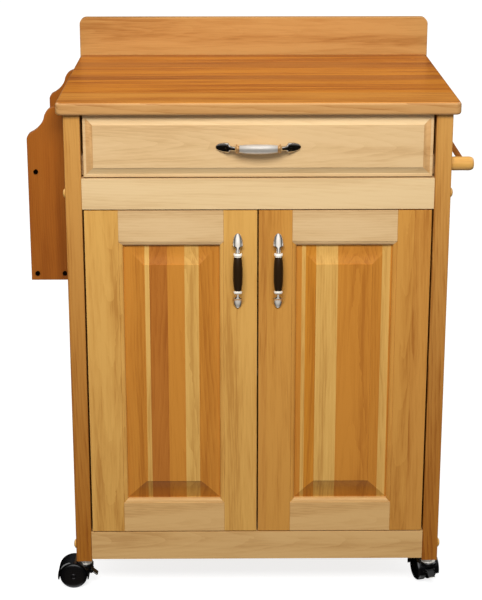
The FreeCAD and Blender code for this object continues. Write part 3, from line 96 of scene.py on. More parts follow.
class ButcherBlockTones(bpy.types.PropertyGroup):
    """Colours of the woods, metals and plastics."""

    # Cream is also laid on the drawer front's upward bevel as a painted highlight.
    cream: paint("Cream", "Palest sapwood, on the middle rail", 229, 197, 147)
    straw: paint("Straw", "Pale board of the drawer front and the doors' upper rails", 222, 187, 137)
    wheat: paint("Wheat", "Tan board of the bottom rail and the doors' lower rails", 219, 175, 114)
    honey: paint("Honey", "Golden door stiles", 220, 167, 86)
    toffee: paint("Toffee", "Warmer stiles of the right door", 208, 147, 66)
    gold: paint("Gold", "Pale staves of the door panels", 224, 175, 94)
    amber: paint("Amber", "Orange-brown staves of the door panels", 204, 134, 48)
    redwood: paint("Redwood", "Redder halves of the right door's stiles", 205, 143, 64)
    copper: paint("Copper", "Staves of the door panels between amber and russet", 208, 137, 42)
    russet: paint("Russet", "Dark red-brown staves of the door panels", 186, 114, 41)
    # On the drawer pull's beads umber is a painted reflection of the wood around them; on the bevels it is end
    # grain's own tone.
    umber: paint("Umber", "Bevels that show end grain, and the drawer pull's beads", 211, 165, 108)
    # Olive is painted shade on the drawer front's downward bevel, which faces away from the light.
    painted_shade_olive: paint("Olive", "Shaded bevel along the drawer front's lower edge", 210, 179, 131)
    chestnut: paint("Chestnut", "Red-brown heartwood of the rack", 164, 94, 26)
    leg: paint("Leg", "Golden brown of the legs", 206, 150, 76)
    # The foot tone is painted shade: each leg fades darker towards the floor, standing in for light falling off
    # downwards.
    painted_shade_leg_foot: paint("Leg foot", "Browner wood near the legs' feet", 175, 108, 28)
    # The worktop's top tones are kept darker than its edge tone, partly as painted shade offsetting the stronger
    # light on the top.
    block: paint("Block", "Middle tone of the worktop's staves", 200, 123, 29)
    block_dark: paint("Block dark", "Darker staves of the worktop", 174, 102, 28)
    block_light: paint("Block light", "Lighter staves of the worktop", 200, 131, 47)
    block_edge: paint("Block edge", "Pale stave along the worktop's edges", 197, 147, 89)
    splash: paint("Splash", "Backsplash", 211, 156, 89)
    nickel: paint("Nickel", "Plating of the pulls and the drawer pull's grip", 226, 220, 210)
    # Near-white for the highlights on polished metal: painted highlight on collars, sockets, brake plates and door
    # pull beads.
    silver: paint("Silver", "Bright collars of the casters, and the door pulls' beads", 252, 248, 238)
    zinc: paint("Zinc", "Screws, bolts and pins", 170, 170, 172)
    # On the door pulls' grips this dark tone is a painted reflection of a dark room; on the rack's screw heads it is
    # their own.
    bronze: paint("Bronze", "Dark heads of the rack's screws, and the door pulls' grips", 50, 34, 17)
    jet: paint("Jet", "Black moulded plastic of the casters", 14, 14, 15)
    ivory: paint("Ivory", "Plastic of the door catches", 214, 206, 186)


class ButcherBlockShapes(bpy.types.PropertyGroup):
    """Edges and mouldings that a maker would change."""

    block_corner: measure("Block corner", "Radius of the worktop's front corners in plan", 0.010)
    block_edge: measure("Block edge", "Rounding of the worktop's long edges", 0.005)
    splash_corner: measure("Splash corner", "Radius of the backsplash's upper corners", 0.013)
    eased_edge: measure("Eased edge", "Sanded edge of boards", 0.0008)
    leg_edge: measure("Leg edge", "Rounding of the legs' edges", 0.0018)
    lip: measure("Drawer lip", "Flat lip round the drawer front's bevel", 0.005)
    lip_bevel: measure("Drawer bevel", "Width of the drawer front's bevel", 0.011)
    rail_flat: measure("Rail flat", "Flat width of the doors' rails", 0.0555)
    stile_flat: measure("Stile flat", "Flat width of the doors' stiles", 0.0578)
    frame_moulding: measure("Frame moulding", "Width of the moulded inner edge", 0.0072)
    frame_depth: measure("Moulding depth", "Depth of the moulded inner edge", 0.006)
    panel_bevel: measure("Panel bevel", "Width of the door panels' bevel", 0.033)
    plug_edge: measure("Plug edge", "Rounding at the rim of the legs' button plugs", 0.0006)


class ButcherBlockStage(bpy.types.PropertyGroup):
    """Camera, lights and floor."""

    camera_place: bpy.props.FloatVectorProperty(
        name="Camera place", description="Where the camera stands",
        default=(-0.0368, -2.8308, 1.4104), subtype="TRANSLATION", unit="LENGTH")
    camera_pitch: bpy.props.FloatProperty(
        name="Camera pitch", description="How far the camera looks down",
        default=math.radians(16.04), unit="ROTATION")
    camera_turn: bpy.props.FloatProperty(
        name="Camera turn", description="How far the camera is turned to the left",
        default=math.radians(-0.5), unit="ROTATION")
    camera_lens: bpy.props.FloatProperty(
        name="Camera lens", description="Focal length in millimetres", default=94.6, unit="CAMERA")
    camera_shift: bpy.props.FloatProperty(
        name="Camera shift", description="Vertical lens shift, in shares of the longer side", default=-0.10)
    sky: strength("Sky", "Strength of the even light from above the horizon", 0.42)
    ground: strength("Ground", "Strength of the even light from below the horizon", 0.2)
    key: strength("Key light", "Power of the soft box above the front, in watts", 54.0)
    key_place: bpy.props.FloatVectorProperty(
        name="Key place", description="Where the soft box hangs",
        default=(-0.1, -2.0, 2.15), subtype="TRANSLATION", unit="LENGTH")
    rim: strength("Rim lights", "Strength of the two soft lights from behind the sides", 1.1)
    floor: paint("Floor", "Colour of the pale floor", 158, 158, 158)
    backdrop: paint("Backdrop", "Pale backdrop behind the object", 250, 250, 250)
    floor_glow: strength(
        "Floor glow", "How much the floor is lit by itself, which keeps its shadows pale", 0.8)


def tones():
    return bpy.context.scene.butcher_block_tones


def shapes():
    return bpy.context.scene.butcher_block_shapes


# --- materials ----------------------------------------------------------------------------------


def add_node(tree, kind, inputs=None, **settings):
    """Add a shader node with its settings, and fill its inputs with values or other nodes' outputs."""
    node = tree.nodes.new("ShaderNode" + kind)
    for name, value in settings.items():
        setattr(node, name, value)
    for key, value in (inputs or {}).items():
        if isinstance(value, bpy.types.NodeSocket):
            tree.links.new(value, node.inputs[key])
        else:
            node.inputs[key].default_value = value
    return node


def noise(tree, vector, scale, detail=2.0, output="Fac"):
    """Soft noise with its own number of features a metre along each axis."""
    place = add_node(tree, "VectorMath", {0: vector, 1: scale}, operation="MULTIPLY").outputs[0]
    return add_node(tree, "TexNoise", {"Vector": place, "Scale": 1.0, "Detail": detail}).outputs[output]


def mixed(tree, parts, bias):
    """Sum of patterns round zero, each times its own weight, plus a bias."""
    total = bias
    for pattern, weight in parts:
        centred = add_node(tree, "Math", {0: pattern, 1: 0.5}, operation="SUBTRACT").outputs[0]
        total = add_node(tree, "Math", {0: centred, 1: weight, 2: total}, operation="MULTIPLY_ADD").outputs[0]
    return total


def multiply(tree, first, second):
    """Product of two colours."""
    node = add_node(tree, "Mix", {0: 1.0, 6: first, 7: second}, data_type="RGBA", blend_type="MULTIPLY")
    return node.outputs[2]


def opaque(colour):
    return (*colour, 1.0)


def fill_ramp(ramp, stops, interpolation="LINEAR"):
    """Set a colour ramp's stops: (position, colour)."""
    ramp.interpolation = interpolation
    while len(ramp.elements) > 1:
        ramp.elements.remove(ramp.elements[0])
    ramp.elements[0].position, ramp.elements[0].color = stops[0]
    for position, colour in stops[1:]:
        ramp.elements.new(position).color = colour


def new_material(name):
    """An empty material with a principled shader, or None where it is already made."""
    if name in made_materials:
        return None, None, None
    material = bpy.data.materials.new(name)
    made_materials[name] = material
    material.use_nodes = True
    tree = material.node_tree
    tree.nodes.clear()
    shader = add_node(tree, "BsdfPrincipled")
    add_node(tree, "OutputMaterial", {"Surface": shader.outputs[0]})
    return material, tree, shader


def mottle(tree, shader, colour, pattern, dark, low, high):
    """Base colour that goes from a darker tint, where a pattern is low, to the plain colour."""
    tint = add_node(tree, "ValToRGB", {0: pattern})
    fill_ramp(tint.color_ramp, [(low, opaque(dark)), (high, (1, 1, 1, 1))])
    tree.links.new(multiply(tree, opaque(colour), tint.outputs[0]), shader.inputs["Base Color"])


def emboss(tree, shader, height, amount, distance):
    """Fine relief on the shader's normal."""
    bump = add_node(tree, "Bump", {"Strength": amount, "Distance": distance, "Height": height})
    tree.links.new(bump.outputs[0], shader.inputs["Normal"])


GRAIN_TURNS = {
    "X": Matrix.Identity(3),
    "Y": Matrix.Rotation(math.pi / 2, 3, "Z"),
    "Z": Matrix.Rotation(-math.pi / 2, 3, "Y"),
}
TILT_AXES = {"X": "Z", "Y": "X", "Z": "X"}
# Features a metre of the wood's patterns: along the grain, then across it both ways.
WANDER_SCALE = (2.0, 13.0, 13.0)
STREAK_SCALE = (3.0, 95.0, 95.0)
FIBRE_SCALE = (12.0, 520.0, 520.0)
BAND_SCALE = (0.8, 34.0, 34.0)
CLOUD_SCALE = (3.2, 11.0, 11.0)
# How far the growth rings wander, and how far apart in the log two neighbouring boards are cut, in metres.
WANDER_REACH = (0.0, 0.022, 0.022)
STAVE_JUMP = (0.9, 0.16, 0.0)
STRIP_JUMP = (1.3, 0.12, 0.06)
# Each stave's share of the jump: its number times the first, plus the second.
STAVE_SHARE, STAVE_START = 0.37, 0.11
# What the figure takes from red, green and blue where it is deepest and where it is halfway, at a contrast of 1.
DEEP_SHADE = (0.30, 0.42, 0.56)
HALF_SHADE = (0.10, 0.15, 0.22)


def shifted(tree, log, amount, reach):
    """Coordinates moved by an amount, times its own reach on each axis."""
    return add_node(tree, "VectorMath", {0: amount, 1: reach, 2: log}, operation="MULTIPLY_ADD").outputs[0]


def stave_tones(tree, place, log, staves, fade):
    """Tones of staves side by side, and the log's coordinates with a jump from each stave to the next."""
    axis, start, end, boards = staves
    along = add_node(tree, "SeparateXYZ", {0: place}).outputs[axis]
    share = add_node(tree, "MapRange", {0: along, 1: start, 2: end}).outputs[0]
    ramp = add_node(tree, "ValToRGB", {0: share})
    stops = []
    for index, (edge, colour) in enumerate(boards):
        stops.append(((edge - start) / (end - start), (*colour, (index * STAVE_SHARE + STAVE_START) % 1)))
    fill_ramp(ramp.color_ramp, stops, "LINEAR" if fade else "CONSTANT")
    if not fade:
        jump = add_node(tree, "CombineXYZ", {0: ramp.outputs[1], 1: ramp.outputs[1]}).outputs[0]
        log = shifted(tree, log, jump, STAVE_JUMP)
    return ramp.outputs[0], log


def strip_tones(tree, place, log, strips):
    """Tones of boards of one width, and the log's coordinates with each board from its own log."""
    axis, width, palette = strips
    along = add_node(tree, "SeparateXYZ", {0: place}).outputs[axis]
    count = add_node(tree, "Math", {0: along, 1: width}, operation="DIVIDE").outputs[0]
    whole = add_node(tree, "Math", {0: count}, operation="FLOOR").outputs[0]
    chance = add_node(tree, "TexWhiteNoise", {"W": whole}, noise_dimensions="1D")
    ramp = add_node(tree, "ValToRGB", {0: chance.outputs["Value"]})
    steps = [(index / len(palette), opaque(colour)) for index, colour in enumerate(palette)]
    fill_ramp(ramp.color_ramp, steps, "CONSTANT")
    return ramp.outputs[0], shifted(tree, log, chance.outputs["Color"], STRIP_JUMP)


def wood(name, tone, grain, pith, tilt=0.06, spacing=0.0045, contrast=1.0, figure=0.7, staves=None,
         strips=None, fade=False):
    """Sawn and varnished hardwood, cut from a log whose pith runs along the grain through a point.

    The log leans by tilt, so that its growth rings leave the board in long arches. Staves are
    (axis, start, end, [(edge, colour), ...]), with the edges as places on that axis; a tone that
    fades along one board is the same with fade set. Strips are (axis, width, tones): boards of one
    width, each of its own tone and from its own log.
    """
    material, tree, shader = new_material(name)
    if material is None:
        return made_materials[name]
    place = add_node(tree, "TexCoord").outputs["Object"]
    lean = Matrix.Rotation(tilt, 3, TILT_AXES[grain]) @ GRAIN_TURNS[grain]
    log = add_node(
        tree, "Mapping", {"Vector": place, "Location": pith, "Rotation": lean.to_euler()}, vector_type="TEXTURE",
    ).outputs[0]
    base = opaque(tone)
    if staves:
        base, log = stave_tones(tree, place, log, staves, fade)
    if strips:
        base, log = strip_tones(tree, place, log, strips)
    wander = noise(tree, log, WANDER_SCALE, 3.0, "Color")
    wander = add_node(tree, "VectorMath", {0: wander, 1: (0.5, 0.5, 0.5)}, operation="SUBTRACT").outputs[0]
    bent = shifted(tree, log, wander, WANDER_REACH)
    rings = add_node(
        tree, "TexWave", {"Vector": bent, "Scale": math.pi / (10 * spacing), "Distortion": 1.2, "Detail": 2.0},
        wave_type="RINGS", rings_direction="X", wave_profile="SAW",
    ).outputs["Fac"]
    streaks = noise(tree, bent, STREAK_SCALE, 3.0)
    fibres = noise(tree, log, FIBRE_SCALE)
    bands = noise(tree, bent, BAND_SCALE)
    clouds = noise(tree, log, CLOUD_SCALE, 3.0)
    weights = [(rings, 0.55 * figure), (streaks, 1.5), (bands, 1.5), (fibres, 0.9), (clouds, 1.3)]
    shade = add_node(tree, "ValToRGB", {0: mixed(tree, weights, 0.62)})
    deep, half = ([1 - contrast * share for share in taken] for taken in (DEEP_SHADE, HALF_SHADE))
    fill_ramp(shade.color_ramp, [(0.1, opaque(deep)), (0.5, opaque(half)), (0.95, (1, 1, 1, 1))])
    tree.links.new(multiply(tree, base, shade.outputs[0]), shader.inputs["Base Color"])
    tree.links.new(mixed(tree, [(fibres, 0.22), (clouds, 0.12)], 0.42), shader.inputs["Roughness"])
    emboss(tree, shader, mixed(tree, [(fibres, 0.8), (rings, 0.25)], 0.5), 0.22, 0.0004)
    shader.inputs["Coat Weight"].default_value = 0.2
    shader.inputs["Coat Roughness"].default_value = 0.22
    shader.inputs["IOR"].default_value = 1.48
    return material


def metal(name, colour, roughness, brushing, metallic=1.0):
    """Plated metal with faint polishing marks and slightly cloudy plating."""
    material, tree, shader = new_material(name)
    if material is None:
        return made_materials[name]
    place = add_node(tree, "TexCoord").outputs["Object"]
    marks = noise(tree, place, (900.0, 900.0, 160.0))
    clouds = noise(tree, place, (60.0, 60.0, 60.0))
    mottle(tree, shader, colour, clouds, (0.9, 0.88, 0.86), 0.3, 0.7)
    tree.links.new(mixed(tree, [(marks, brushing), (clouds, brushing)], roughness), shader.inputs["Roughness"])
    emboss(tree, shader, marks, 0.1, 0.0001)
    shader.inputs["Metallic"].default_value = metallic
    return material


def plastic(name, colour, roughness, coat):
    """Moulded plastic with a fine orange-peel skin and faint scuffs."""
    material, tree, shader = new_material(name)
    if material is None:
        return made_materials[name]
    place = add_node(tree, "TexCoord").outputs["Object"]
    skin = noise(tree, place, (1400.0, 1400.0, 1400.0))
    scuffs = noise(tree, place, (120.0, 120.0, 420.0), 4.0)
    mottle(tree, shader, colour, scuffs, (0.82, 0.82, 0.84), 0.35, 0.75)
    tree.links.new(mixed(tree, [(scuffs, 0.18)], roughness), shader.inputs["Roughness"])
    emboss(tree, shader, skin, 0.08, 0.0002)
    shader.inputs["Coat Weight"].default_value = coat
    shader.inputs["Coat Roughness"].default_value = 0.08
    return material


def nickel():
    return metal("polished_nickel", tones().nickel, 0.16, 0.06)


# Door pulls' grips: a dark, mostly diffuse finish that paints in the dark room the polished nickel would mirror.
def black_nickel():
    return metal("black_nickel", tones().bronze, 0.3, 0.05, metallic=0.25)


# Near-white and almost diffuse: the bright highlights of polished metal painted into its colour.
def bright_steel():
    return metal("bright_steel", tones().silver, 0.3, 0.1, metallic=0.1)


# Drawer pull's beads: umber metal that paints in the reflection of the surrounding wood.
def aged_brass():
    return metal("aged_brass", tones().umber, 0.3, 0.1, metallic=0.6)


# Drawer pull's grip: pale, partly diffuse nickel that paints the reflection of the light overhead into its colour.
def brushed_silver():
    return metal("brushed_silver", tones().nickel, 0.34, 0.03, metallic=0.6)


def zinc():
    return metal("zinc_plate", tones().zinc, 0.36, 0.14)


def black_plastic():
    return plastic("black_caster_plastic", tones().jet, 0.16, 1.0)


# --- modelling helpers --------------------------------------------------------------------------


def block(low, high):
    """A rectangular board between two corners."""
    bm = bmesh.new()
    add_block(bm, low, high)
    return bm


def add_block(bm, low, high):
    """Add a rectangular board between two corners, and give its points."""
    low, high = Vector(low), Vector(high)
    made = bmesh.ops.create_cube(bm, size=1.0)["verts"]
    bmesh.ops.scale(bm, vec=high - low, verts=made)
    bmesh.ops.translate(bm, vec=(high + low) / 2, verts=made)
    return made


def near(a, b):
    return abs(a - b) < EPSILON


def level(edge, axis):
    """Whether an edge's two ends lie at the same place on an axis."""
    return near(edge.verts[0].co[axis], edge.verts[1].co[axis])


def lies_at(edge, axis, place):
    """Whether the whole edge lies at one place on an axis."""
    return all(near(vert.co[axis], place) for vert in edge.verts)


def edges_between(bm, verts):
    """The edges that join some points to each other."""
    return [edge for edge in bm.edges if edge.verts[0] in verts and edge.verts[1] in verts]


def quarter_turn(point, axis, sign=1):
    """A place at a point, turned by 90 degrees about an axis, so that its own Z axis lies flat."""
    return Matrix.Translation(point) @ Matrix.Rotation(sign * math.pi / 2, 4, axis)


def round_over(bm, edges, radius, steps=3):
    """Round edges over with a bevel of several segments."""
    bmesh.ops.bevel(
        bm, geom=edges, offset=radius, offset_type="OFFSET", affect="EDGES", segments=steps, profile=0.5,
        material=-1, clamp_overlap=True,
    )


def front_faces(bm):
    """The faces that lie furthest forwards."""
    best = min(face.calc_center_median().y for face in bm.faces)
    return [face for face in bm.faces if near(face.calc_center_median().y, best)]


def inset(bm, faces, width, depth=0.0):
    """Inset faces, and raise what is left in their middle by a depth."""
    bmesh.ops.inset_region(bm, faces=faces, thickness=width, depth=depth, use_even_offset=True)


def ring(bm, centre, across, upright, turn=None, sides=24):
    """A loop of edges: an ellipse of two half sizes about a point."""
    matrix = Matrix.Translation(centre) @ (turn or Matrix.Identity(4)) @ Matrix.Diagonal((across, upright, 1, 1))
    made = bmesh.ops.create_circle(bm, cap_ends=False, segments=sides, radius=1.0, matrix=matrix)["verts"]
    return edges_between(bm, made)


def skin_rings(bm, loops):
    """Bridge a row of loops and close both ends."""
    for first, second in zip(loops, loops[1:]):
        bmesh.ops.bridge_loops(bm, edges=first + second)
    for loop in (loops[0], loops[-1]):
        bmesh.ops.contextual_create(bm, geom=loop)


def turned(bm, profile, matrix, steps=32):
    """A turned solid: (radius, height) points spun about the matrix's own Z axis. Gives its points."""
    points = [bm.verts.new((radius, 0, height)) for radius, height in profile]
    edges = [bm.edges.new(pair) for pair in zip(points, points[1:])]
    bmesh.ops.spin(
        bm, geom=points + edges, cent=(0, 0, 0), axis=(0, 0, 1), dvec=(0, 0, 0), angle=AROUND, steps=steps,
        use_merge=True, use_duplicate=False,
    )
    island = [vert for vert in bm.verts if not vert.tag]
    bmesh.ops.remove_doubles(bm, verts=island, dist=DOUBLES)
    fresh = [vert for vert in bm.verts if not vert.tag]
    bmesh.ops.transform(bm, matrix=matrix, verts=fresh)
    tag_all(bm)
    return fresh


def tag_all(bm):
    """Mark what is already there, so that the next turned solid is placed by itself."""
    for vert in bm.verts:
        vert.tag = True


def finish_piece(name, bm, body, materials, replaces=(), smooth=32):
    """Turn a bmesh into a shown piece that rides on a body and takes its finish from a slot."""
    bmesh.ops.recalc_face_normals(bm, faces=bm.faces)
    mesh = bpy.data.meshes.new(name)
    bm.to_mesh(mesh)
    bm.free()
    mesh.polygons.foreach_set("use_smooth", [True] * len(mesh.polygons))
    mesh.set_sharp_from_angle(angle=math.radians(smooth))
    for material in materials if isinstance(materials, (list, tuple)) else (materials,):
        mesh.materials.append(material)
    piece = bpy.data.objects.new(name, mesh)
    bpy.context.scene.collection.objects.link(piece)
    piece.modifiers.new("Flat faces", "WEIGHTED_NORMAL").keep_sharp = True
    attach(piece, body)
    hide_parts(*replaces)


def dress(node, material):
    """Give a CAD node its material."""
    mesh = frame["nodes"][node].data
    mesh.materials.clear()
    mesh.materials.append(material)


# --- wood of each piece -------------------------------------------------------------------------


def facing_board(name, tone, node, grain, sideways=0.0, behind=0.045, **settings):
    """Wood for a board that faces the front, sawn so that the pith lies behind its middle."""
    low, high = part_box(node)
    middle = (low + high) / 2
    pith = Vector((middle.x, low.y + behind, middle.z))
    pith[Z if grain == "X" else X] += sideways
    return wood(name, tone, grain, pith, **settings)


# --- pieces -------------------------------------------------------------------------------------


# Where the worktop's staves begin, from its middle towards the wall, and their tones.
BLOCK_STAVES = (
    (-0.202, "block_light"), (-0.157, "block"), (-0.112, "block"), (-0.067, "block"), (-0.031, "block_dark"),
    (0.010, "block"), (0.055, "block"), (0.098, "block_dark"), (0.155, "block"), (0.214, "block_dark"),
)


def build_worktop():
    """Block with rounded front corners and rolled edges."""
    low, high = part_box("worktop")
    size, tone = shapes(), tones()
    bm = block(low, high)
    corners = [edge for edge in bm.edges if lies_at(edge, Y, low.y) and not level(edge, Z)]
    round_over(bm, corners, size.block_corner, 8)
    rims = [
        edge for edge in bm.edges
        if (lies_at(edge, Z, low.z) or lies_at(edge, Z, high.z)) and not lies_at(edge, Y, high.y)
    ]
    round_over(bm, rims, size.block_edge, 5)
    boards = [(low.y, tone.block_light)] + [(start, getattr(tone, shade)) for start, shade in BLOCK_STAVES]
    top = wood(
        "block_wood", tone.block, "X", (low.x, high.y, low.z - 0.09), tilt=0.03, spacing=0.012, contrast=1.4,
        figure=1.3, staves=(Y, low.y, high.y, boards),
    )
    edge = wood(
        "block_edge_wood", tone.block_edge, "X", (low.x, low.y + 0.03, low.z - 0.02), tilt=0.05, spacing=0.007,
        contrast=1.1, figure=1.3,
    )
    # The top takes the staves' darker tones and other faces the paler edge wood: partly the boards' own tones, partly
    # painted shade.
    bm.normal_update()
    for face in bm.faces:
        face.material_index = int(face.normal.z < 0.75)
    finish_piece("butcher_block", bm, "cabinet", (top, edge), ["worktop"])


SPLASH_EDGE = 0.002


def build_splash():
    """Upstand with round upper corners."""
    low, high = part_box("backsplash")
    size, tone = shapes(), tones()
    bm = block(low, high)
    corners = [edge for edge in bm.edges if lies_at(edge, Z, high.z) and level(edge, X)]
    round_over(bm, corners, size.splash_corner, 8)
    rims = [edge for edge in bm.edges if level(edge, Y) and not lies_at(edge, Z, low.z)]
    round_over(bm, rims, SPLASH_EDGE, 3)
    material = facing_board(
        "splash_wood", tone.splash, "backsplash", "X", sideways=0.02, behind=0.05, tilt=0.04, contrast=1.05,
        figure=0.25,
    )
    finish_piece("back_splash", bm, "cabinet", material, ["backsplash"])


def build_legs():
    """Four square posts with rounded edges."""
    size, tone = shapes(), tones()
    for index, corner in enumerate(CASTERS):
        name = f"leg_{corner}"
        low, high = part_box(name)
        bm = block(low, high)
        round_over(bm, [edge for edge in bm.edges if not level(edge, Z)], size.leg_edge, 3)
        round_over(bm, [edge for edge in bm.edges if lies_at(edge, Z, low.z)], size.eased_edge, 2)
        middle = (low + high) / 2
        # Each leg fades from the darker foot tone up to its own: painted shade for the light falling off towards the
        # floor.
        material = wood(
            f"leg_wood_{index}", tone.leg, "Z", (middle.x + 0.05, middle.y + 0.03, middle.z + 0.3 * index),
            tilt=0.035, spacing=0.004, contrast=1.05, figure=1.0, fade=True,
            staves=(Z, low.z, high.z, [(low.z, tone.painted_shade_leg_foot), (high.z, tone.leg)]),
        )
        finish_piece(f"post_{corner}", bm, "cabinet", material, [name])


def build_rails():
    """Front rails with eased edges."""
    size, tone = shapes(), tones()
    for name, colour, sideways, contrast in (
        ("middle_rail", tone.cream, -0.05, 0.38), ("bottom_rail", tone.wheat, 0.012, 0.62),
    ):
        bm = block(*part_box(name))
        round_over(bm, list(bm.edges), size.eased_edge, 2)
        material = facing_board(
            f"{name}_wood", colour, name, "X", sideways=sideways, tilt=0.05, contrast=contrast)
        finish_piece(f"front_{name}", bm, "cabinet", material, [name])


# The drawer front's bevel: how far it lies behind the field, its quirk beside the lip and its cove.
FRONT_RELIEF = 0.004
LIP_QUIRK = 0.0006
COVE_RISE = 0.0012
# The step up to the drawer front's field: its width and height.
FIELD_STEP_WIDTH, FIELD_STEP = 0.0003, 0.0008


def build_drawer_front():
    """Front with a flat lip, a coved bevel and a raised field."""
    size, tone = shapes(), tones()
    low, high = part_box("drawer_front")
    bm = block((low.x, low.y + FRONT_RELIEF, low.z), high)
    face = front_faces(bm)
    inset(bm, face, size.lip)
    inset(bm, face, LIP_QUIRK, -LIP_QUIRK)
    inset(bm, face, size.lip_bevel / 2, COVE_RISE)
    inset(bm, face, size.lip_bevel / 2, FRONT_RELIEF - FIELD_STEP + LIP_QUIRK - COVE_RISE)
    inset(bm, face, FIELD_STEP_WIDTH, FIELD_STEP)
    outer = [
        edge for edge in bm.edges
        if all(near(v.co.x, low.x) or near(v.co.x, high.x) or near(v.co.z, low.z) or near(v.co.z, high.z)
               for v in edge.verts)
    ]
    round_over(bm, outer, size.eased_edge, 2)
    # The upward bevel takes cream as a painted highlight, the downward bevel olive as painted shade; side bevels show
    # end grain.
    materials = [
        facing_board(
            f"drawer_{part}_wood", colour, "drawer_front", "X", sideways=0.004, behind=0.03, tilt=0.07,
            spacing=spacing, contrast=contrast)
        for part, colour, spacing, contrast in (
            ("front", tone.straw, 0.0042, 0.5), ("bevel", tone.umber, 0.0045, 0.6),
            ("upper_bevel", tone.cream, 0.0045, 0.4), ("lower_bevel", tone.painted_shade_olive, 0.0045, 0.5),
        )
    ]
    bm.normal_update()
    for face in bm.faces:
        across, outwards, up = face.normal
        if outwards < -0.5:
            # Side bevels get end grain, upward bevels the painted highlight, downward bevels the painted shade, the
            # field its wood.
            face.material_index = 1 if abs(across) > 0.05 else 2 if up > 0.05 else 3 if up < -0.05 else 0
    finish_piece("drawer_face", bm, "drawer", materials, ["drawer_front"], smooth=20)


# A door's thickness, where its panel's tongue starts and ends behind the face, and how deep the groove for it is.
DOOR_THICKNESS = 0.02
TONGUE_FRONT, TONGUE_BACK = 0.009, 0.015
GROOVE_DEPTH = 0.008
MOULDING_QUIRK = 0.0009
MOULDING_TURNS = 6
MEMBER_EDGE = 0.0005


def moulded_edge(bm, length, flat, shift, matrix):
    """The moulded inner part of a door member, mitred at both ends, in the member's own axes.

    Its own X runs along the member, Y from the outer edge inwards, Z from the face backwards. The mitre
    is shifted by how much wider the flat of the crossing member is.
    """
    width, depth = shapes().frame_moulding, shapes().frame_depth
    profile = [(flat, 0.0), (flat + 0.0004, MOULDING_QUIRK)]
    for index in range(1, MOULDING_TURNS + 1):
        angle = math.pi / 2 * index / MOULDING_TURNS
        sunk = MOULDING_QUIRK + (depth - MOULDING_QUIRK) * (1 - math.cos(angle))
        profile.append((flat + width * math.sin(angle), sunk))
    inner = flat + width
    groove = inner - GROOVE_DEPTH
    profile += [
        (inner, TONGUE_FRONT), (groove, TONGUE_FRONT), (groove, TONGUE_BACK), (inner, TONGUE_BACK),
        (inner, DOOR_THICKNESS), (flat, DOOR_THICKNESS),
    ]
    outline = [bm.verts.new((across + shift, across, back)) for across, back in profile]
    base = bm.faces.new(outline)
    grown = bmesh.ops.extrude_face_region(bm, geom=[base])["geom"]
    far = [item for item in grown if isinstance(item, bmesh.types.BMVert)]
    for vert in far:
        vert.co.x = length - shift - vert.co.y
    bmesh.ops.transform(bm, matrix=matrix, verts=outline + far)


def door_member(name, body, nodes, places, length, is_rail, material):
    """A stile or rail: a flat board with eased edges and its moulded edge. Places are its matrices."""
    shape = shapes()
    wider = shape.stile_flat - shape.rail_flat
    flat, shift, start = shape.stile_flat, -wider, 0.0
    if is_rail:
        flat, shift, start = shape.rail_flat, wider, shape.stile_flat
    bm = bmesh.new()
    for matrix in places:
        made = add_block(bm, (start, 0, 0), (length - start, flat, DOOR_THICKNESS))
        edges = edges_between(bm, made)
        bmesh.ops.transform(bm, matrix=matrix, verts=made)
        round_over(bm, edges, MEMBER_EDGE, 2)
        moulded_edge(bm, length, flat, shift, matrix)
    finish_piece(name, bm, body, material, nodes, smooth=25)


def door_axes(origin, along, inwards):
    """A matrix from a member's own axes to the frame: along it, inwards over its width, and backwards."""
    matrix = Matrix((along, inwards, (0, 1, 0))).transposed().to_4x4()
    return Matrix.Translation(origin) @ matrix


# Where the staves of the panels and of the right door's stiles begin, from the board's left edge, and their tones.
PANEL_STAVES = {
    "left": ((0.0, "amber"), (0.0455, "gold"), (0.0535, "russet"), (0.0850, "amber"), (0.1145, "gold"),
             (0.139, "amber")),
    "right": ((0.0, "amber"), (0.019, "gold"), (0.0255, "copper"), (0.044, "gold"), (0.0813, "amber"),
              (0.158, "gold"), (0.172, "amber")),
}
STILE_STAVES = {
    "right_door_meeting_stile": ((0.0, "redwood"), (0.0145, "toffee")),
    "right_door_hinge_stile": ((0.0, "toffee"), (0.0335, "redwood")),
}
# Each stile's tone, how far the log's pith lies beside its middle, and its contrast.
STILE_WOODS = {
    "left_door_hinge_stile": ("honey", 0.006, 0.95),
    "left_door_meeting_stile": ("honey", 0.06, 0.85),
    "right_door_meeting_stile": ("toffee", -0.05, 1.0),
    "right_door_hinge_stile": ("toffee", -0.014, 1.15),
}


def stave_list(start, staves):
    """Staves given by offset and tone's name, as places and colours."""
    return [(start + offset, getattr(tones(), shade)) for offset, shade in staves]


def build_stile(body, node, x, inwards, low, high):
    """A door's stile, whose outer edge stands at x and whose moulding faces inwards."""
    shade, sideways, contrast = STILE_WOODS[node]
    place = door_axes((x, low.y, low.z), (0, 0, 1), (inwards, 0, 0))
    start, end = (corner.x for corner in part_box(node))
    staves = stave_list(start, STILE_STAVES.get(node, ()))
    material = facing_board(
        f"{node}_wood", getattr(tones(), shade), node, "Z", sideways=sideways, behind=0.05, tilt=0.04,
        contrast=contrast, figure=0.5, staves=(X, start, end, staves) if staves else None,
    )
    door_member(f"{node}_piece", body, [node], [place], high.z - low.z, False, material)


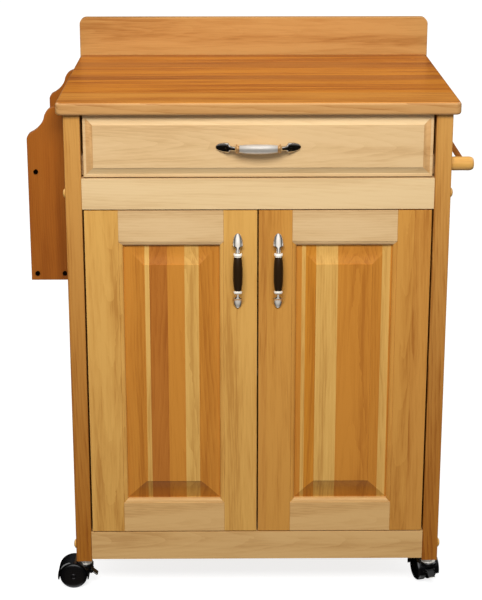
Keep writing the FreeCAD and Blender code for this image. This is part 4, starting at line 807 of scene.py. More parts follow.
def build_doors():
    """Two framed doors with raised panels."""
    tone = tones()
    for side, other in (("left", "right"), ("right", "left")):
        body = f"{side}_door"
        ends = {side: f"{body}_hinge_stile", other: f"{body}_meeting_stile"}
        low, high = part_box(ends["left"])[0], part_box(ends["right"])[1]
        for edge, x, inwards in (("left", low.x, 1), ("right", high.x, -1)):
            build_stile(body, ends[edge], x, inwards, low, high)
        places = [
            door_axes((low.x, low.y, low.z), (1, 0, 0), (0, 0, 1)),
            door_axes((low.x, low.y, high.z), (1, 0, 0), (0, 0, -1)),
        ]
        middle = (low + high) / 2
        material = wood(
            f"{body}_rail_wood", tone.straw, "X", (middle.x, low.y + 0.03, low.z + 0.02), tilt=0.07, contrast=0.6,
            staves=(Z, low.z, high.z, [(low.z, tone.wheat), (middle.z, tone.straw)]),
        )
        door_member(
            f"{body}_rail_pieces", body, [f"{body}_rails"], places, high.x - low.x, True, material)
        build_panel(side, low, high)


# The panel's gap to the moulding, its coved bevel as shares of width and rises, and its lower bevel's painted shade.
PANEL_GAP = 0.001
PANEL_COVE = ((0.3, 0.0010), (0.35, 0.0019), (0.35, 0.0031))
PANEL_STEP_WIDTH, PANEL_STEP = 0.0004, 0.001
PAINTED_SHADE_TINT = (0.70, 0.62, 0.45)


def build_panel(side, low, high):
    """A raised panel: tongue, coved bevel, step and field."""
    shape = shapes()
    body = f"{side}_door"
    tongue_low, tongue_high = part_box(f"{body}_panel")
    across = low.x + shape.stile_flat + shape.frame_moulding + PANEL_GAP - tongue_low.x
    upright = low.z + shape.rail_flat + shape.frame_moulding + PANEL_GAP - tongue_low.z
    bm = block(
        (tongue_low.x, low.y + TONGUE_FRONT, tongue_low.z), (tongue_high.x, low.y + TONGUE_BACK, tongue_high.z))
    face = front_faces(bm)
    inset(bm, face, upright)
    centre = (tongue_low.x + tongue_high.x) / 2
    for vert in face[0].verts:
        vert.co.x += math.copysign(across - upright, centre - vert.co.x)
    for share, rise in PANEL_COVE:
        inset(bm, face, shape.panel_bevel * share, rise)
    inset(bm, face, PANEL_STEP_WIDTH, PANEL_STEP)
    start, end = low.x + shape.rail_flat, high.x - shape.rail_flat
    middle = (low + high) / 2
    materials = []
    # The second copy of the staves is darkened by the tint as painted shade for the downward bevel; both bevels show
    # end grain.
    for title, shade in (("panel", (1, 1, 1)), ("panel_end", PAINTED_SHADE_TINT)):
        staves = [
            (place, tuple(part * channel for part, channel in zip(shade, colour)))
            for place, colour in stave_list(start, PANEL_STAVES[side])
        ]
        materials.append(wood(
            f"{body}_{title}_wood", tones().amber, "Z", (middle.x + 0.02, low.y + 0.06, middle.z), tilt=0.03,
            contrast=0.8, staves=(X, start, end, staves),
        ))
    bm.normal_update()
    for face in bm.faces:
        # Forward faces that tilt downwards, the lower bevel, take the painted shade.
        face.material_index = int(face.normal.y < -0.5 and face.normal.z < -0.02)
    finish_piece(f"{body}_raised_panel", bm, body, materials, [f"{body}_panel"], smooth=12)


# A pull from its middle to its tip: share of the half length, share of the standoff, half width, half depth.
PULL_STATIONS = [
    (0.00, 1.00, 0.0084, 0.0070),
    (0.15, 0.985, 0.0083, 0.0069),
    (0.30, 0.945, 0.0077, 0.0064),
    (0.40, 0.895, 0.0068, 0.0058),
    (0.445, 0.865, 0.0063, 0.0055),
    (0.45, 0.862, 0.0046, 0.0042),
    (0.468, 0.852, 0.0046, 0.0042),
    (0.476, 0.845, 0.0072, 0.0064),
    (0.50, 0.828, 0.0076, 0.0068),
    (0.524, 0.808, 0.0072, 0.0064),
    (0.532, 0.80, 0.0048, 0.0044),
    (0.56, 0.75, 0.0041, 0.0040),
    (0.62, 0.63, 0.0041, 0.0040),
    (0.66, 0.54, 0.0049, 0.0041),
    (0.68, 0.49, 0.0067, 0.0043),
    (0.69, 0.465, 0.0085, 0.0045),
    (0.70, 0.44, 0.0088, 0.0046),
    (0.72, 0.39, 0.0088, 0.0044),
    (0.77, 0.29, 0.0086, 0.0038),
    (0.83, 0.205, 0.0080, 0.0033),
    (0.88, 0.155, 0.0071, 0.0028),
    (0.93, 0.12, 0.0058, 0.0023),
    (0.97, 0.10, 0.0040, 0.0018),
    (0.992, 0.09, 0.0020, 0.0010),
]
# Where the grip and the bead end, as shares of the half length; the post behind each foot, and its inset.
GRIP_END, BEAD_END = 0.446, 0.53
PULL_POST = [(0.0, 0.006), (0.0034, 0.006), (0.0036, 0.0006), (0.0044, 0.0), (0.0, 0.0)]
POST_INSET = 0.013


def build_pulls():
    """Bowed pulls: a swelling grip, a bead at each end of it, and spoon-shaped feet."""
    for name, body in (("left_door_pull", "left_door"), ("right_door_pull", "right_door"), ("drawer_pull", "drawer")):
        low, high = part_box(name)
        upright = high.z - low.z > high.x - low.x
        half = max(high.z - low.z, high.x - low.x) / 2
        standoff = high.y - low.y - PULL_STATIONS[0][3]
        bm = bmesh.new()
        stations = [(-along, *rest) for along, *rest in reversed(PULL_STATIONS)] + PULL_STATIONS[1:]
        skin_rings(bm, [
            ring(bm, (0, -standoff * share, along * half), wide, deep) for along, share, wide, deep in stations
        ])
        tag_all(bm)
        for sign in (-1, 1):
            turned(bm, PULL_POST, quarter_turn((0, 0, sign * (half - POST_INSET)), "X"), 20)
        for face in bm.faces:
            share = abs(face.calc_center_median().z) / half
            face.material_index = 1 if share < GRIP_END else 2 if share < BEAD_END else 0
        foot = Vector(((low.x + high.x) / 2, high.y, (low.z + high.z) / 2))
        place = Matrix.Translation(foot) if upright else quarter_turn(foot, "Y")
        bmesh.ops.transform(bm, matrix=place, verts=bm.verts)
        # Door pulls: the grip's dark colour is a painted reflection, the beads' near-white a painted highlight; the
        # pull is polished nickel.
        materials = [nickel(), black_nickel(), bright_steel()]
        # Drawer pull: the grip's pale silver is a painted reflection of the light overhead, the beads' umber a
        # painted reflection of wood.
        if not upright:
            materials[1:] = [brushed_silver(), aged_brass()]
        finish_piece(f"{name}_casting", bm, body, materials, [name], smooth=50)


def arc_to(bm, start, finish, radius, outwards, steps=8):
    """Extend a chain of edges in the XZ plane along an arc from a vertex to a point."""
    begin = start.co.copy()
    chord = Vector(finish) - begin
    left = Vector((-chord.z, 0, chord.x)).normalized()
    rise = math.sqrt(radius**2 - (chord.length / 2) ** 2)
    middle = begin + chord / 2 + left * (rise if outwards else -rise)
    angle = 2 * math.asin(chord.length / 2 / radius)
    made = bmesh.ops.spin(
        bm, geom=[start], cent=middle, axis=(0, 1, 0), dvec=(0, 0, 0), angle=-angle if outwards else angle,
        steps=steps, use_duplicate=False,
    )
    return next(item for item in made["geom_last"] if isinstance(item, bmesh.types.BMVert))


# How far below its top a rack end's shoulder lies, and the three arcs from there to the top: the place where each
# ends, from the outer or inner edge and from the top, its radius, and whether it bulges outwards.
SHOULDER_DROP = 0.057
RACK_ARCS = (
    ("outer", 0.0065, 0.0455, 0.013, True),
    ("outer", 0.0305, 0.0195, 0.045, False),
    ("inner", -0.022, 0.0, 0.022, True),
)
RACK_END_EDGE, RACK_BOARD_EDGE = 0.0014, 0.0018


def build_rack_end(index, end):
    """One end of the rack: straight sides, and a top that sweeps up to the cabinet."""
    name = f"rack_end_{end}"
    low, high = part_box(name)
    bm = bmesh.new()
    inner = bm.verts.new((high.x, low.y, low.z))
    outer = bm.verts.new((low.x, low.y, low.z))
    shoulder = last = bm.verts.new((low.x, low.y, high.z - SHOULDER_DROP))
    for side, offset, drop, radius, bulges in RACK_ARCS:
        x = (low.x if side == "outer" else high.x) + offset
        last = arc_to(bm, last, (x, low.y, high.z - drop), radius, not bulges)
    top = bm.verts.new((high.x, low.y, high.z))
    for pair in ((inner, outer), (outer, shoulder), (last, top), (top, inner)):
        bm.edges.new(pair)
    bmesh.ops.remove_doubles(bm, verts=bm.verts, dist=DOUBLES)
    base = bmesh.ops.contextual_create(bm, geom=list(bm.edges))["faces"]
    grown = bmesh.ops.extrude_face_region(bm, geom=base)["geom"]
    far = [item for item in grown if isinstance(item, bmesh.types.BMVert)]
    bmesh.ops.translate(bm, vec=(0, high.y - low.y, 0), verts=far)
    rims = [edge for edge in bm.edges if level(edge, Y) and not lies_at(edge, X, high.x)]
    round_over(bm, rims, RACK_END_EDGE, 2)
    material = wood(
        f"rack_end_wood_{index}", tones().chestnut, "Z", (high.x + 0.06, low.y + 0.05, low.z), tilt=0.03,
        spacing=0.0035, contrast=0.7,
    )
    finish_piece(f"rack_side_{end}", bm, "cabinet", material, [name], smooth=28)


def build_rack():
    """Two shaped ends, a shelf between their feet and a guard rail."""
    for index, end in enumerate(("front", "rear")):
        build_rack_end(index, end)
    for name, title in (("rack_shelf", "rack_floor_board"), ("rack_guard_rail", "rack_rail_board")):
        low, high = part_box(name)
        bm = block(low, high)
        round_over(bm, list(bm.edges), RACK_BOARD_EDGE, 3)
        middle = (low + high) / 2
        material = wood(
            f"{name}_wood", tones().chestnut, "Y", (middle.x, middle.y, low.z - 0.05), tilt=0.05, contrast=0.7)
        finish_piece(title, bm, "cabinet", material, [name])


def build_towel_bar():
    """Two turned arms with rounded ends, and the dowel between them."""
    tone = tones()
    low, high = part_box("towel_arms")
    level_z = (low.z + high.z) / 2
    radius = (high.z - low.z) / 2
    reach = high.x - low.x
    profile = [
        (0.0, 0.0), (radius * 0.93, 0.0), (radius * 0.97, 0.0012), (radius, 0.005), (radius * 0.985, reach * 0.5),
        (radius, reach - 0.009), (radius * 0.96, reach - 0.0055), (radius * 0.86, reach - 0.0026),
        (radius * 0.7, reach - 0.0009), (radius * 0.45, reach - 0.0002), (0.0, reach),
    ]
    bm = bmesh.new()
    for y in (low.y + radius, high.y - radius):
        turned(bm, profile, quarter_turn((low.x, y, level_z), "Y"), 32)
    material = wood("towel_arm_wood", tone.honey, "X", (low.x, 0.0, level_z - 0.03), tilt=0.05, contrast=0.6)
    finish_piece("towel_arm_turnings", bm, "cabinet", material, ["towel_arms"], smooth=40)
    low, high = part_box("towel_rail")
    thin = (high.z - low.z) / 2
    long = high.y - low.y
    rail = [
        (0.0, 0.0), (thin - 0.0006, 0.0), (thin, 0.0008), (thin, long - 0.0008), (thin - 0.0006, long), (0.0, long),
    ]
    bm = bmesh.new()
    turned(bm, rail, quarter_turn(((low.x + high.x) / 2, high.y, level_z), "X"), 24)
    material = wood("towel_rail_wood", tone.russet, "Y", (low.x, 0.0, level_z - 0.03), tilt=0.03, contrast=0.6)
    finish_piece("towel_dowel", bm, "cabinet", material, ["towel_rail"], smooth=40)


PLUG_RADIUS = 0.0085
PLUG_DOME = 0.0045
PLUG_STEM, PLUG_STEM_RADIUS = 0.006, 0.0064


def build_plugs():
    """Eight turned button plugs on the legs' outer faces."""
    low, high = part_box("leg_plugs")
    left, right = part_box("leg_front_left")[0].x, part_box("leg_front_right")[1].x
    edge = shapes().plug_edge
    profile = [
        (0.0, -PLUG_STEM), (PLUG_STEM_RADIUS, -PLUG_STEM), (PLUG_STEM_RADIUS, 0.0), (PLUG_RADIUS - edge, 0.0),
        (PLUG_RADIUS, edge),
    ]
    for share, rise in ((0.93, 0.38), (0.78, 0.66), (0.52, 0.88), (0.25, 0.975), (0.0, 1.0)):
        profile.append((PLUG_RADIUS * share, PLUG_DOME * rise))
    bm = bmesh.new()
    for x, sign in ((left, -1), (right, 1)):
        for y in (low.y + PLUG_RADIUS, high.y - PLUG_RADIUS):
            for z in (low.z + PLUG_RADIUS, high.z - PLUG_RADIUS):
                turned(bm, profile, quarter_turn((x, y, z), "Y", sign), 24)
    pith = (0.0, 0.0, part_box("leg_bolts")[0].z)
    material = wood("plug_wood", tones().honey, "Z", pith, tilt=0.02, contrast=0.6)
    finish_piece("button_plugs", bm, "cabinet", material, ["leg_plugs"], smooth=40)


def build_cabinet_boards():
    """Woods of the boards that stay as the frame has them."""
    tone = tones()
    low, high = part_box("side_panel_left")
    for index, name in enumerate(("side_panel_left", "side_panel_right")):
        pith = (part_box(name)[0].x - 0.05, 0.0, low.z + 0.2)
        dress(name, wood(
            f"side_wood_{index}", tone.honey, "Z", pith, tilt=0.03, contrast=0.6,
            strips=(Y, 0.0647, [tone.honey, tone.amber, tone.leg, tone.straw, tone.amber]),
        ))
    inner = wood(
        "inner_wood", tone.straw, "X", (0.0, 0.0, high.z), tilt=0.03, contrast=0.55,
        strips=(Y, 0.07, [tone.straw, tone.honey, tone.wheat]),
    )
    runners = wood("runner_wood", tone.straw, "Y", (0.0, 0.0, high.z - 0.2), tilt=0.03, contrast=0.5)
    drawer_back = wood("drawer_back_wood", tone.straw, "X", (0.0, 0.16, 0.7), tilt=0.03, contrast=0.5)
    thin = dict(tilt=0.09, spacing=0.008, contrast=0.6, figure=0.8)
    back = wood("thin_board_wood", tone.wheat, "Z", (0.1, 0.35, 0.5), **thin)
    bottom = wood("drawer_bottom_wood", tone.wheat, "Y", (0.05, 0.0, 0.6), **thin)
    for material, names in (
        (inner, ("shelf", "cabinet_floor", "rear_rails")),
        (runners, ("drawer_side_left", "drawer_side_right", "drawer_runners")),
        (drawer_back, ("drawer_back",)), (back, ("back_panel",)), (bottom, ("drawer_bottom",)),
    ):
        for name in names:
            dress(name, material)


def build_hardware():
    """Finishes of screws, bolts, pins, strikes and catches."""
    for name in ("leg_bolts", "barrel_nuts", "door_pins", "shelf_pins", "left_door_pull_screws",
                 "right_door_pull_screws", "drawer_pull_screws", "left_door_strike", "right_door_strike"):
        dress(name, zinc())
    dress("wood_screws", metal("bronzed_screws", tones().bronze, 0.4, 0.15))
    dress("door_catches", plastic("catch_plastic", tones().ivory, 0.45, 0.0))


# Turned profiles of the casters' parts, as (radius, height) points. The hood's and the wheel's run along the axle.
HOOD_LIP = [
    (0.0262, -0.0205), (0.0275, -0.0203), (0.0283, -0.0185), (0.0285, -0.016), (0.0285, 0.016), (0.0283, 0.0185),
    (0.0275, 0.0203), (0.0262, 0.0205), (0.0262, -0.0205),
]
HOOD_DISC = [(0.0, -0.0035), (0.0272, -0.0035), (0.0272, 0.0035), (0.0, 0.0035)]
BOSS = [
    (0.0, 0.0385), (0.0138, 0.0385), (0.0148, 0.0395), (0.0148, 0.0440), (0.0138, 0.0452), (0.009, 0.0455),
    (0.009, 0.0535), (0.0, 0.0535),
]
COLLAR = [
    (0.0091, 0.0452), (0.0126, 0.0452), (0.0131, 0.0457), (0.0131, 0.0472), (0.0122, 0.0484), (0.0112, 0.0492),
    (0.0110, 0.0504), (0.0116, 0.0514), (0.0126, 0.0522), (0.0130, 0.0530),
]
WHEEL = [
    (0.0, 0.0038), (0.0248, 0.0038), (0.025, 0.0042), (0.025, 0.0130), (0.0248, 0.0144), (0.0241, 0.0157),
    (0.0229, 0.0168), (0.0210, 0.0177), (0.0180, 0.0185), (0.0140, 0.0190), (0.0090, 0.0193), (0.0052, 0.0193),
    (0.0046, 0.0190), (0.0040, 0.0194), (0.0026, 0.0198), (0.0, 0.0198),
]
EAR = [(0.0, 0.0), (0.0036, 0.0), (0.004, 0.0004), (0.004, 0.0021), (0.0036, 0.0025), (0.0, 0.0025)]
KNUCKLE = [(0.0, 0.0), (0.0026, 0.0), (0.003, 0.0004), (0.003, 0.0116), (0.0026, 0.012), (0.0, 0.012)]
# The hood's hem above the floor, the room that the wheels need, and the gap between the collar and the leg.
HOOD_HEM = 0.020
WHEEL_ROOM = 0.0268
COLLAR_GAP = 0.0018
# The brake's pivot from the axle: how far, and at what angle; its ears' places along it and half their thickness.
PIVOT_REACH, PIVOT_RISE = 0.032, math.radians(10)
EAR_PLACES = (-0.00755, 0.00755)
EAR_HALF = 0.00125
# The brake's blade, from its pivot: three layers with their lowest and highest corners and material, and its droop.
BLADE_LAYERS = (
    ((-0.0142, -0.0060, -0.0010), (0.0008, 0.0060, 0.0002), 0),
    ((-0.0150, -0.0056, 0.0002), (0.0008, 0.0056, 0.0012), 1),
    ((-0.0142, -0.0060, 0.0012), (0.0008, 0.0060, 0.0024), 0),
)
BLADE_DROOP = math.radians(40)
BLADE_EDGE = 0.0004
UPRIGHT = Matrix.Identity(4)


def caster_matrix(corner):
    """From a caster's own axes, with its wheel towards +X and its swivel at the origin, to the frame."""
    swivel = Vector(JOINTS[f"{corner}_swivel"]["pos_m"])
    axle = Vector(JOINTS[f"{corner}_wheel_spin"]["pos_m"])
    turn = math.atan2(axle.y - swivel.y, axle.x - swivel.x)
    return Matrix.Translation((swivel.x, swivel.y, 0)) @ Matrix.Rotation(turn, 4, "Z")


def clear_wheels(verts, trail, height):
    """Raise the underside of a round part where it would reach into a caster's wheels."""
    for vert in verts:
        reach = WHEEL_ROOM ** 2 - (trail - vert.co.x) ** 2
        if reach > 0:
            vert.co.z = max(vert.co.z, height + math.sqrt(reach))


def finish_caster(name, bm, corner, body, material, replaces=(), smooth=35):
    """Move a caster's piece from the caster's own axes to its corner, and finish it."""
    bmesh.ops.transform(bm, matrix=caster_matrix(corner), verts=bm.verts)
    finish_piece(name, bm, f"{body}_{corner}", material, replaces, smooth)


def build_cowl(corner, trail, height):
    """A caster's hood: a curved lip and a disc round the axle, cut off at the hem, a boss and the brake's ears."""
    about_axle = quarter_turn((trail, 0, height), "X")
    bm = bmesh.new()
    turned(bm, HOOD_LIP, about_axle, 48)
    turned(bm, HOOD_DISC, about_axle, 48)
    halves = bm.verts[:] + bm.edges[:] + bm.faces[:]
    cut = bmesh.ops.bisect_plane(
        bm, geom=halves, plane_co=(0, 0, HOOD_HEM), plane_no=(0, 0, -1), clear_outer=True)["geom_cut"]
    bmesh.ops.holes_fill(bm, edges=[item for item in cut if isinstance(item, bmesh.types.BMEdge)], sides=0)
    clear_wheels(turned(bm, BOSS, UPRIGHT, 48), trail, height)
    if corner.startswith("front"):
        pivot_x = trail - PIVOT_REACH * math.cos(PIVOT_RISE)
        pivot_z = height + PIVOT_REACH * math.sin(PIVOT_RISE)
        for y in EAR_PLACES:
            turned(bm, EAR, quarter_turn((pivot_x, y + EAR_HALF, pivot_z), "X"), 20)
            add_block(
                bm, (pivot_x, y - EAR_HALF, pivot_z), (pivot_x + 0.0058, y + EAR_HALF, pivot_z + 0.004))
            tag_all(bm)
    finish_caster(
        f"caster_{corner}_cowl", bm, corner, "caster", black_plastic(),
        [f"caster_{corner}_hood"],
    )


def build_collar(corner, trail, height):
    """A caster's collar between its boss and the leg, near-white as a painted highlight on the nickel."""
    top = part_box("leg_front_left")[0].z - COLLAR_GAP
    profile = COLLAR + [(0.0129, top - 0.0004), (0.0122, top), (COLLAR[0][0], top), COLLAR[0]]
    bm = bmesh.new()
    clear_wheels(turned(bm, profile, UPRIGHT, 48), trail, height)
    finish_caster(f"caster_{corner}_collar", bm, corner, "caster", bright_steel(), smooth=30)


def build_wheels(corner, trail, height):
    """A caster's two domed wheels."""
    bm = bmesh.new()
    for sign in (-1, 1):
        turned(bm, WHEEL, quarter_turn((trail, 0, height), "X", sign), 56)
    finish_caster(
        f"caster_{corner}_twin_wheels", bm, corner, "wheels",
        plastic("caster_tread", tones().jet, 0.18, 0.8), [f"caster_{corner}_wheels"],
    )


def build_casters():
    """Twin-wheel casters: a domed hood with its boss, a bright collar and two domed wheels."""
    swivel = Vector(JOINTS["front_left_swivel"]["pos_m"])
    axle = Vector(JOINTS["front_left_wheel_spin"]["pos_m"])
    trail = (axle - swivel).to_2d().length
    for corner in CASTERS:
        build_cowl(corner, trail, axle.z)
        build_collar(corner, trail, axle.z)
        build_wheels(corner, trail, axle.z)


def build_sockets():
    """Stem sockets in the legs' feet, each with a flange as wide as the leg."""
    low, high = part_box("caster_sockets")
    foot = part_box("leg_front_left")[0].z
    profile = [
        (0.0058, low.z), (0.0131, low.z - 0.0002), (0.0138, low.z + 0.0003), (0.0138, foot - 0.0006),
        (0.0131, foot - 0.00005), (0.0074, foot - 0.00005), (0.0074, high.z), (0.0058, high.z), (0.0058, low.z),
    ]
    bm = bmesh.new()
    for corner in CASTERS:
        swivel = Vector(JOINTS[f"{corner}_swivel"]["pos_m"])
        turned(bm, profile, Matrix.Translation((swivel.x, swivel.y, 0)), 40)
    # The near-white finish is a painted highlight on the sockets' metal.
    finish_piece("stem_sockets", bm, "cabinet", bright_steel(), ["caster_sockets"], smooth=35)


def build_brakes():
    """Foot levers of the front casters: a knuckle, and a black blade round a steel plate painted near-white as a
    highlight.
    """
    for corner in ("front_left", "front_right"):
        name = f"caster_{corner}_brake"
        pivot = caster_matrix(corner).inverted() @ Vector(JOINTS[f"{corner}_brake_press"]["pos_m"])
        bm = bmesh.new()
        turned(bm, KNUCKLE, quarter_turn((pivot.x, KNUCKLE[-1][1] / 2, pivot.z), "X"), 24)
        droop = Matrix.Translation(pivot) @ Matrix.Rotation(-BLADE_DROOP, 4, "Y")
        for low, high, finish in BLADE_LAYERS:
            made = add_block(bm, low, high)
            edges = edges_between(bm, made)
            for face in {face for vert in made for face in vert.link_faces}:
                face.material_index = finish
            bmesh.ops.transform(bm, matrix=droop, verts=made)
            round_over(bm, edges, BLADE_EDGE, 2)
        finish_caster(
            f"{name}_lever", bm, corner, "brake", (black_plastic(), bright_steel()), [name])


FLOOR_RADIUS = 60.0
# The studio as metal mirrors it, from straight below to straight above: height as a share, and light.
MIRRORED_STUDIO = [
    (0.02, (0.8, 0.8, 0.8, 1)), (0.14, (0.06, 0.05, 0.04, 1)), (0.55, (0.03, 0.025, 0.02, 1)),
    (0.70, (1.6, 1.6, 1.65, 1)), (0.95, (1.2, 1.2, 1.2, 1)),
]
KEY_AIM = (0.015, -0.234, 0.5)
KEY_SIZE = (1.3, 0.8)
RIM_SPREAD = math.radians(60)
RIM_DIRECTIONS = {"left": (-0.9, 0.4, 0.7), "right": (0.9, 0.4, 0.7)}


def lay_floor(stage):
    """A pale floor, partly lit by itself."""
    bm = bmesh.new()
    bmesh.ops.create_circle(bm, cap_ends=True, segments=64, radius=FLOOR_RADIUS)
    mesh = bpy.data.meshes.new("floor")
    bm.to_mesh(mesh)
    bm.free()
    floor = bpy.data.objects.new("floor", mesh)
    bpy.context.scene.collection.objects.link(floor)
    material, tree, shader = new_material("floor_paint")
    clouds = noise(tree, add_node(tree, "TexCoord").outputs["Object"], (0.8, 0.8, 0.8))
    mottle(tree, shader, stage.floor, clouds, (0.97, 0.97, 0.97), 0.3, 0.7)
    shader.inputs["Roughness"].default_value = 0.9
    shader.inputs["Specular IOR Level"].default_value = 0.0
    shader.inputs["Emission Color"].default_value = (1, 1, 1, 1)
    shader.inputs["Emission Strength"].default_value = stage.floor_glow
    mesh.materials.append(material)
    floor.visible_diffuse = floor.visible_glossy = False


def soft_window(tree, place, start, end, bright, dim):
    """Fade from a bright to a dim amount while a direction goes from start to end."""
    values = {0: place, 1: start, 2: end, 3: bright, 4: dim}
    return add_node(tree, "MapRange", values, interpolation_type="SMOOTHSTEP").outputs[0]


def light_world(stage):
    """Even light from above and below, dark surroundings for metal to mirror, and a pale backdrop."""
    world = bpy.data.worlds.new("studio")
    world.use_nodes = True
    tree = world.node_tree
    direction = add_node(tree, "TexCoord").outputs["Generated"]
    across, ahead, upward = add_node(tree, "SeparateXYZ", {0: direction}).outputs
    height = add_node(tree, "MapRange", {0: upward, 1: -1.0, 2: 1.0}).outputs[0]
    even = add_node(tree, "ValToRGB", {0: height})
    sky, ground = stage.sky, stage.ground
    fill_ramp(even.color_ramp, [(0.45, (ground, ground, ground, 1)), (0.55, (sky, sky, sky, 1))])
    mirrored = add_node(tree, "ValToRGB", {0: height})
    fill_ramp(mirrored.color_ramp, MIRRORED_STUDIO)
    sideways = add_node(tree, "Math", {0: across}, operation="ABSOLUTE").outputs[0]
    narrow = soft_window(tree, sideways, 0.1, 0.55, 1.0, 0.12)
    behind = soft_window(tree, ahead, -0.1, 0.5, 1.0, 0.03)
    patch = add_node(tree, "Math", {0: narrow, 1: behind}, operation="MULTIPLY").outputs[0]
    mirrored = add_node(tree, "VectorMath", {0: mirrored.outputs[0], 3: patch}, operation="SCALE").outputs[0]
    light = even.outputs[0]
    for ray, shown in (("Is Glossy Ray", mirrored), ("Is Camera Ray", opaque(stage.backdrop))):
        chosen = add_node(tree, "LightPath").outputs[ray]
        light = add_node(tree, "Mix", {0: chosen, 6: light, 7: shown}, data_type="RGBA").outputs[2]
    tree.links.new(light, tree.nodes["Background"].inputs["Color"])
    bpy.context.scene.world = world


def hang_lights(stage):
    """A soft box above the front, and a soft light from behind each side."""
    collection = bpy.context.scene.collection
    box = bpy.data.lights.new("key", "AREA")
    box.shape, box.energy = "RECTANGLE", stage.key
    box.size, box.size_y = KEY_SIZE
    key = bpy.data.objects.new("key", box)
    key.location = stage.key_place
    key.rotation_euler = (key.location - Vector(KEY_AIM)).to_track_quat("Z", "Y").to_euler()
    key.visible_glossy = False
    collection.objects.link(key)
    for side, direction in RIM_DIRECTIONS.items():
        sun = bpy.data.lights.new(f"rim_{side}", "SUN")
        sun.energy, sun.angle = stage.rim, RIM_SPREAD
        rim = bpy.data.objects.new(f"rim_{side}", sun)
        rim.rotation_euler = Vector(direction).to_track_quat("Z", "Y").to_euler()
        collection.objects.link(rim)


def place_camera(stage):
    """The camera at its viewing angle."""
    lens = bpy.data.cameras.new("view")
    lens.lens = stage.camera_lens
    lens.sensor_width = 36.0
    lens.shift_y = stage.camera_shift
    camera = bpy.data.objects.new("view", lens)
    camera.location = stage.camera_place
    camera.rotation_euler = (math.pi / 2 - stage.camera_pitch, 0.0, stage.camera_turn)
    bpy.context.scene.collection.objects.link(camera)
    bpy.context.scene.camera = camera


def build_stage():
    """Pale floor, even sky, dark surroundings for the metal to mirror, soft lights, and the camera."""
    stage = bpy.context.scene.butcher_block_stage
    bpy.context.scene.view_settings.view_transform = "Standard"
    for step in (lay_floor, light_world, hang_lights, place_camera):
        step(stage)


# --- operators, panel and registration ----------------------------------------------------------


class AddWorktop(bpy.types.Operator):
    """Add the butcher block top"""

    bl_idname = "butcher_block.worktop"
    bl_label = "Worktop"

    def execute(self, context):
        build_worktop()
        return {"FINISHED"}


class AddBacksplash(bpy.types.Operator):
    """Add the upstand behind the worktop"""

    bl_idname = "butcher_block.backsplash"
    bl_label = "Backsplash"

    def execute(self, context):
        build_splash()
        return {"FINISHED"}


class AddLegs(bpy.types.Operator):
    """Add the four legs"""

    bl_idname = "butcher_block.legs"
    bl_label = "Legs"

    def execute(self, context):
        build_legs()
        return {"FINISHED"}


class AddRails(bpy.types.Operator):
    """Add the rails between the front legs"""

    bl_idname = "butcher_block.rails"
    bl_label = "Rails"

    def execute(self, context):
        build_rails()
        return {"FINISHED"}


class AddDrawerFront(bpy.types.Operator):
    """Add the drawer's bevelled front"""

    bl_idname = "butcher_block.drawer_front"
    bl_label = "Drawer front"

    def execute(self, context):
        build_drawer_front()
        return {"FINISHED"}


class AddDoors(bpy.types.Operator):
    """Add the two raised-panel doors"""

    bl_idname = "butcher_block.doors"
    bl_label = "Doors"

    def execute(self, context):
        build_doors()
        return {"FINISHED"}


class AddPulls(bpy.types.Operator):
    """Add the pulls of the doors and the drawer"""

    bl_idname = "butcher_block.pulls"
    bl_label = "Pulls"

    def execute(self, context):
        build_pulls()
        return {"FINISHED"}


class AddRack(bpy.types.Operator):
    """Add the rack on the left side"""

    bl_idname = "butcher_block.rack"
    bl_label = "Side rack"

    def execute(self, context):
        build_rack()
        return {"FINISHED"}


class AddTowelBar(bpy.types.Operator):
    """Add the towel bar on the right side"""

    bl_idname = "butcher_block.towel_bar"
    bl_label = "Towel bar"

    def execute(self, context):
        build_towel_bar()
        return {"FINISHED"}


class AddPlugs(bpy.types.Operator):
    """Add the button plugs over the legs' bolts"""

    bl_idname = "butcher_block.plugs"
    bl_label = "Button plugs"

    def execute(self, context):
        build_plugs()
        return {"FINISHED"}


class FinishCabinetBoards(bpy.types.Operator):
    """Give the side, back, floor, shelf and drawer boards their wood"""

    bl_idname = "butcher_block.cabinet_boards"
    bl_label = "Cabinet boards"

    def execute(self, context):
        build_cabinet_boards()
        return {"FINISHED"}


class FinishHardware(bpy.types.Operator):
    """Give the screws, bolts, pins, strikes and catches their finish"""

    bl_idname = "butcher_block.hardware"
    bl_label = "Hardware"

    def execute(self, context):
        build_hardware()
        return {"FINISHED"}


class AddCasters(bpy.types.Operator):
    """Add the four twin-wheel casters"""

    bl_idname = "butcher_block.casters"
    bl_label = "Casters"

    def execute(self, context):
        build_casters()
        return {"FINISHED"}


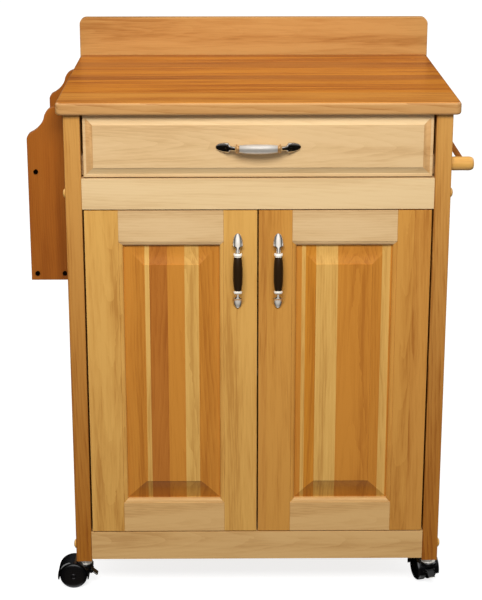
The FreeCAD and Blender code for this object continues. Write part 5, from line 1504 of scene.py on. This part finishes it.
class AddSockets(bpy.types.Operator):
    """Add the sockets for the casters' stems"""

    bl_idname = "butcher_block.sockets"
    bl_label = "Stem sockets"

    def execute(self, context):
        build_sockets()
        return {"FINISHED"}


class AddBrakes(bpy.types.Operator):
    """Add the foot brakes of the front casters"""

    bl_idname = "butcher_block.brakes"
    bl_label = "Caster brakes"

    def execute(self, context):
        build_brakes()
        return {"FINISHED"}


class AddStage(bpy.types.Operator):
    """Add the floor, the light and the camera"""

    bl_idname = "butcher_block.stage"
    bl_label = "Stage"

    def execute(self, context):
        build_stage()
        return {"FINISHED"}


OPERATORS = (
    AddWorktop, AddBacksplash, AddLegs, AddRails, AddDrawerFront, AddDoors, AddPulls, AddRack, AddTowelBar, AddPlugs,
    FinishCabinetBoards, FinishHardware, AddSockets, AddCasters, AddBrakes, AddStage,
)
SETTINGS = {
    "butcher_block_tones": ButcherBlockTones,
    "butcher_block_shapes": ButcherBlockShapes,
    "butcher_block_stage": ButcherBlockStage,
}


class ButcherBlockPanel(bpy.types.Panel):
    """Sizes, colours and build steps of the kitchen table"""

    bl_idname = "VIEW3D_PT_butcher_block"
    bl_label = "Butcher Block"
    bl_space_type = "VIEW_3D"
    bl_region_type = "UI"
    bl_category = "Butcher Block"

    def draw(self, context):
        for name, group in SETTINGS.items():
            column = self.layout.column(align=True)
            for setting in group.__annotations__:
                column.prop(getattr(context.scene, name), setting)
        for operator in OPERATORS:
            self.layout.operator(operator.bl_idname)


def register():
    for kind in (*SETTINGS.values(), *OPERATORS, ButcherBlockPanel):
        bpy.utils.register_class(kind)
    for name, group in SETTINGS.items():
        setattr(bpy.types.Scene, name, bpy.props.PointerProperty(type=group))


def unregister():
    for name in SETTINGS:
        delattr(bpy.types.Scene, name)
    for kind in reversed((*SETTINGS.values(), *OPERATORS, ButcherBlockPanel)):
        bpy.utils.unregister_class(kind)


def main():
    """Build every piece in order."""
    register()
    for operator in OPERATORS:
        getattr(bpy.ops.butcher_block, operator.bl_idname.split(".")[1])()


if __name__ == "__main__":
    main()
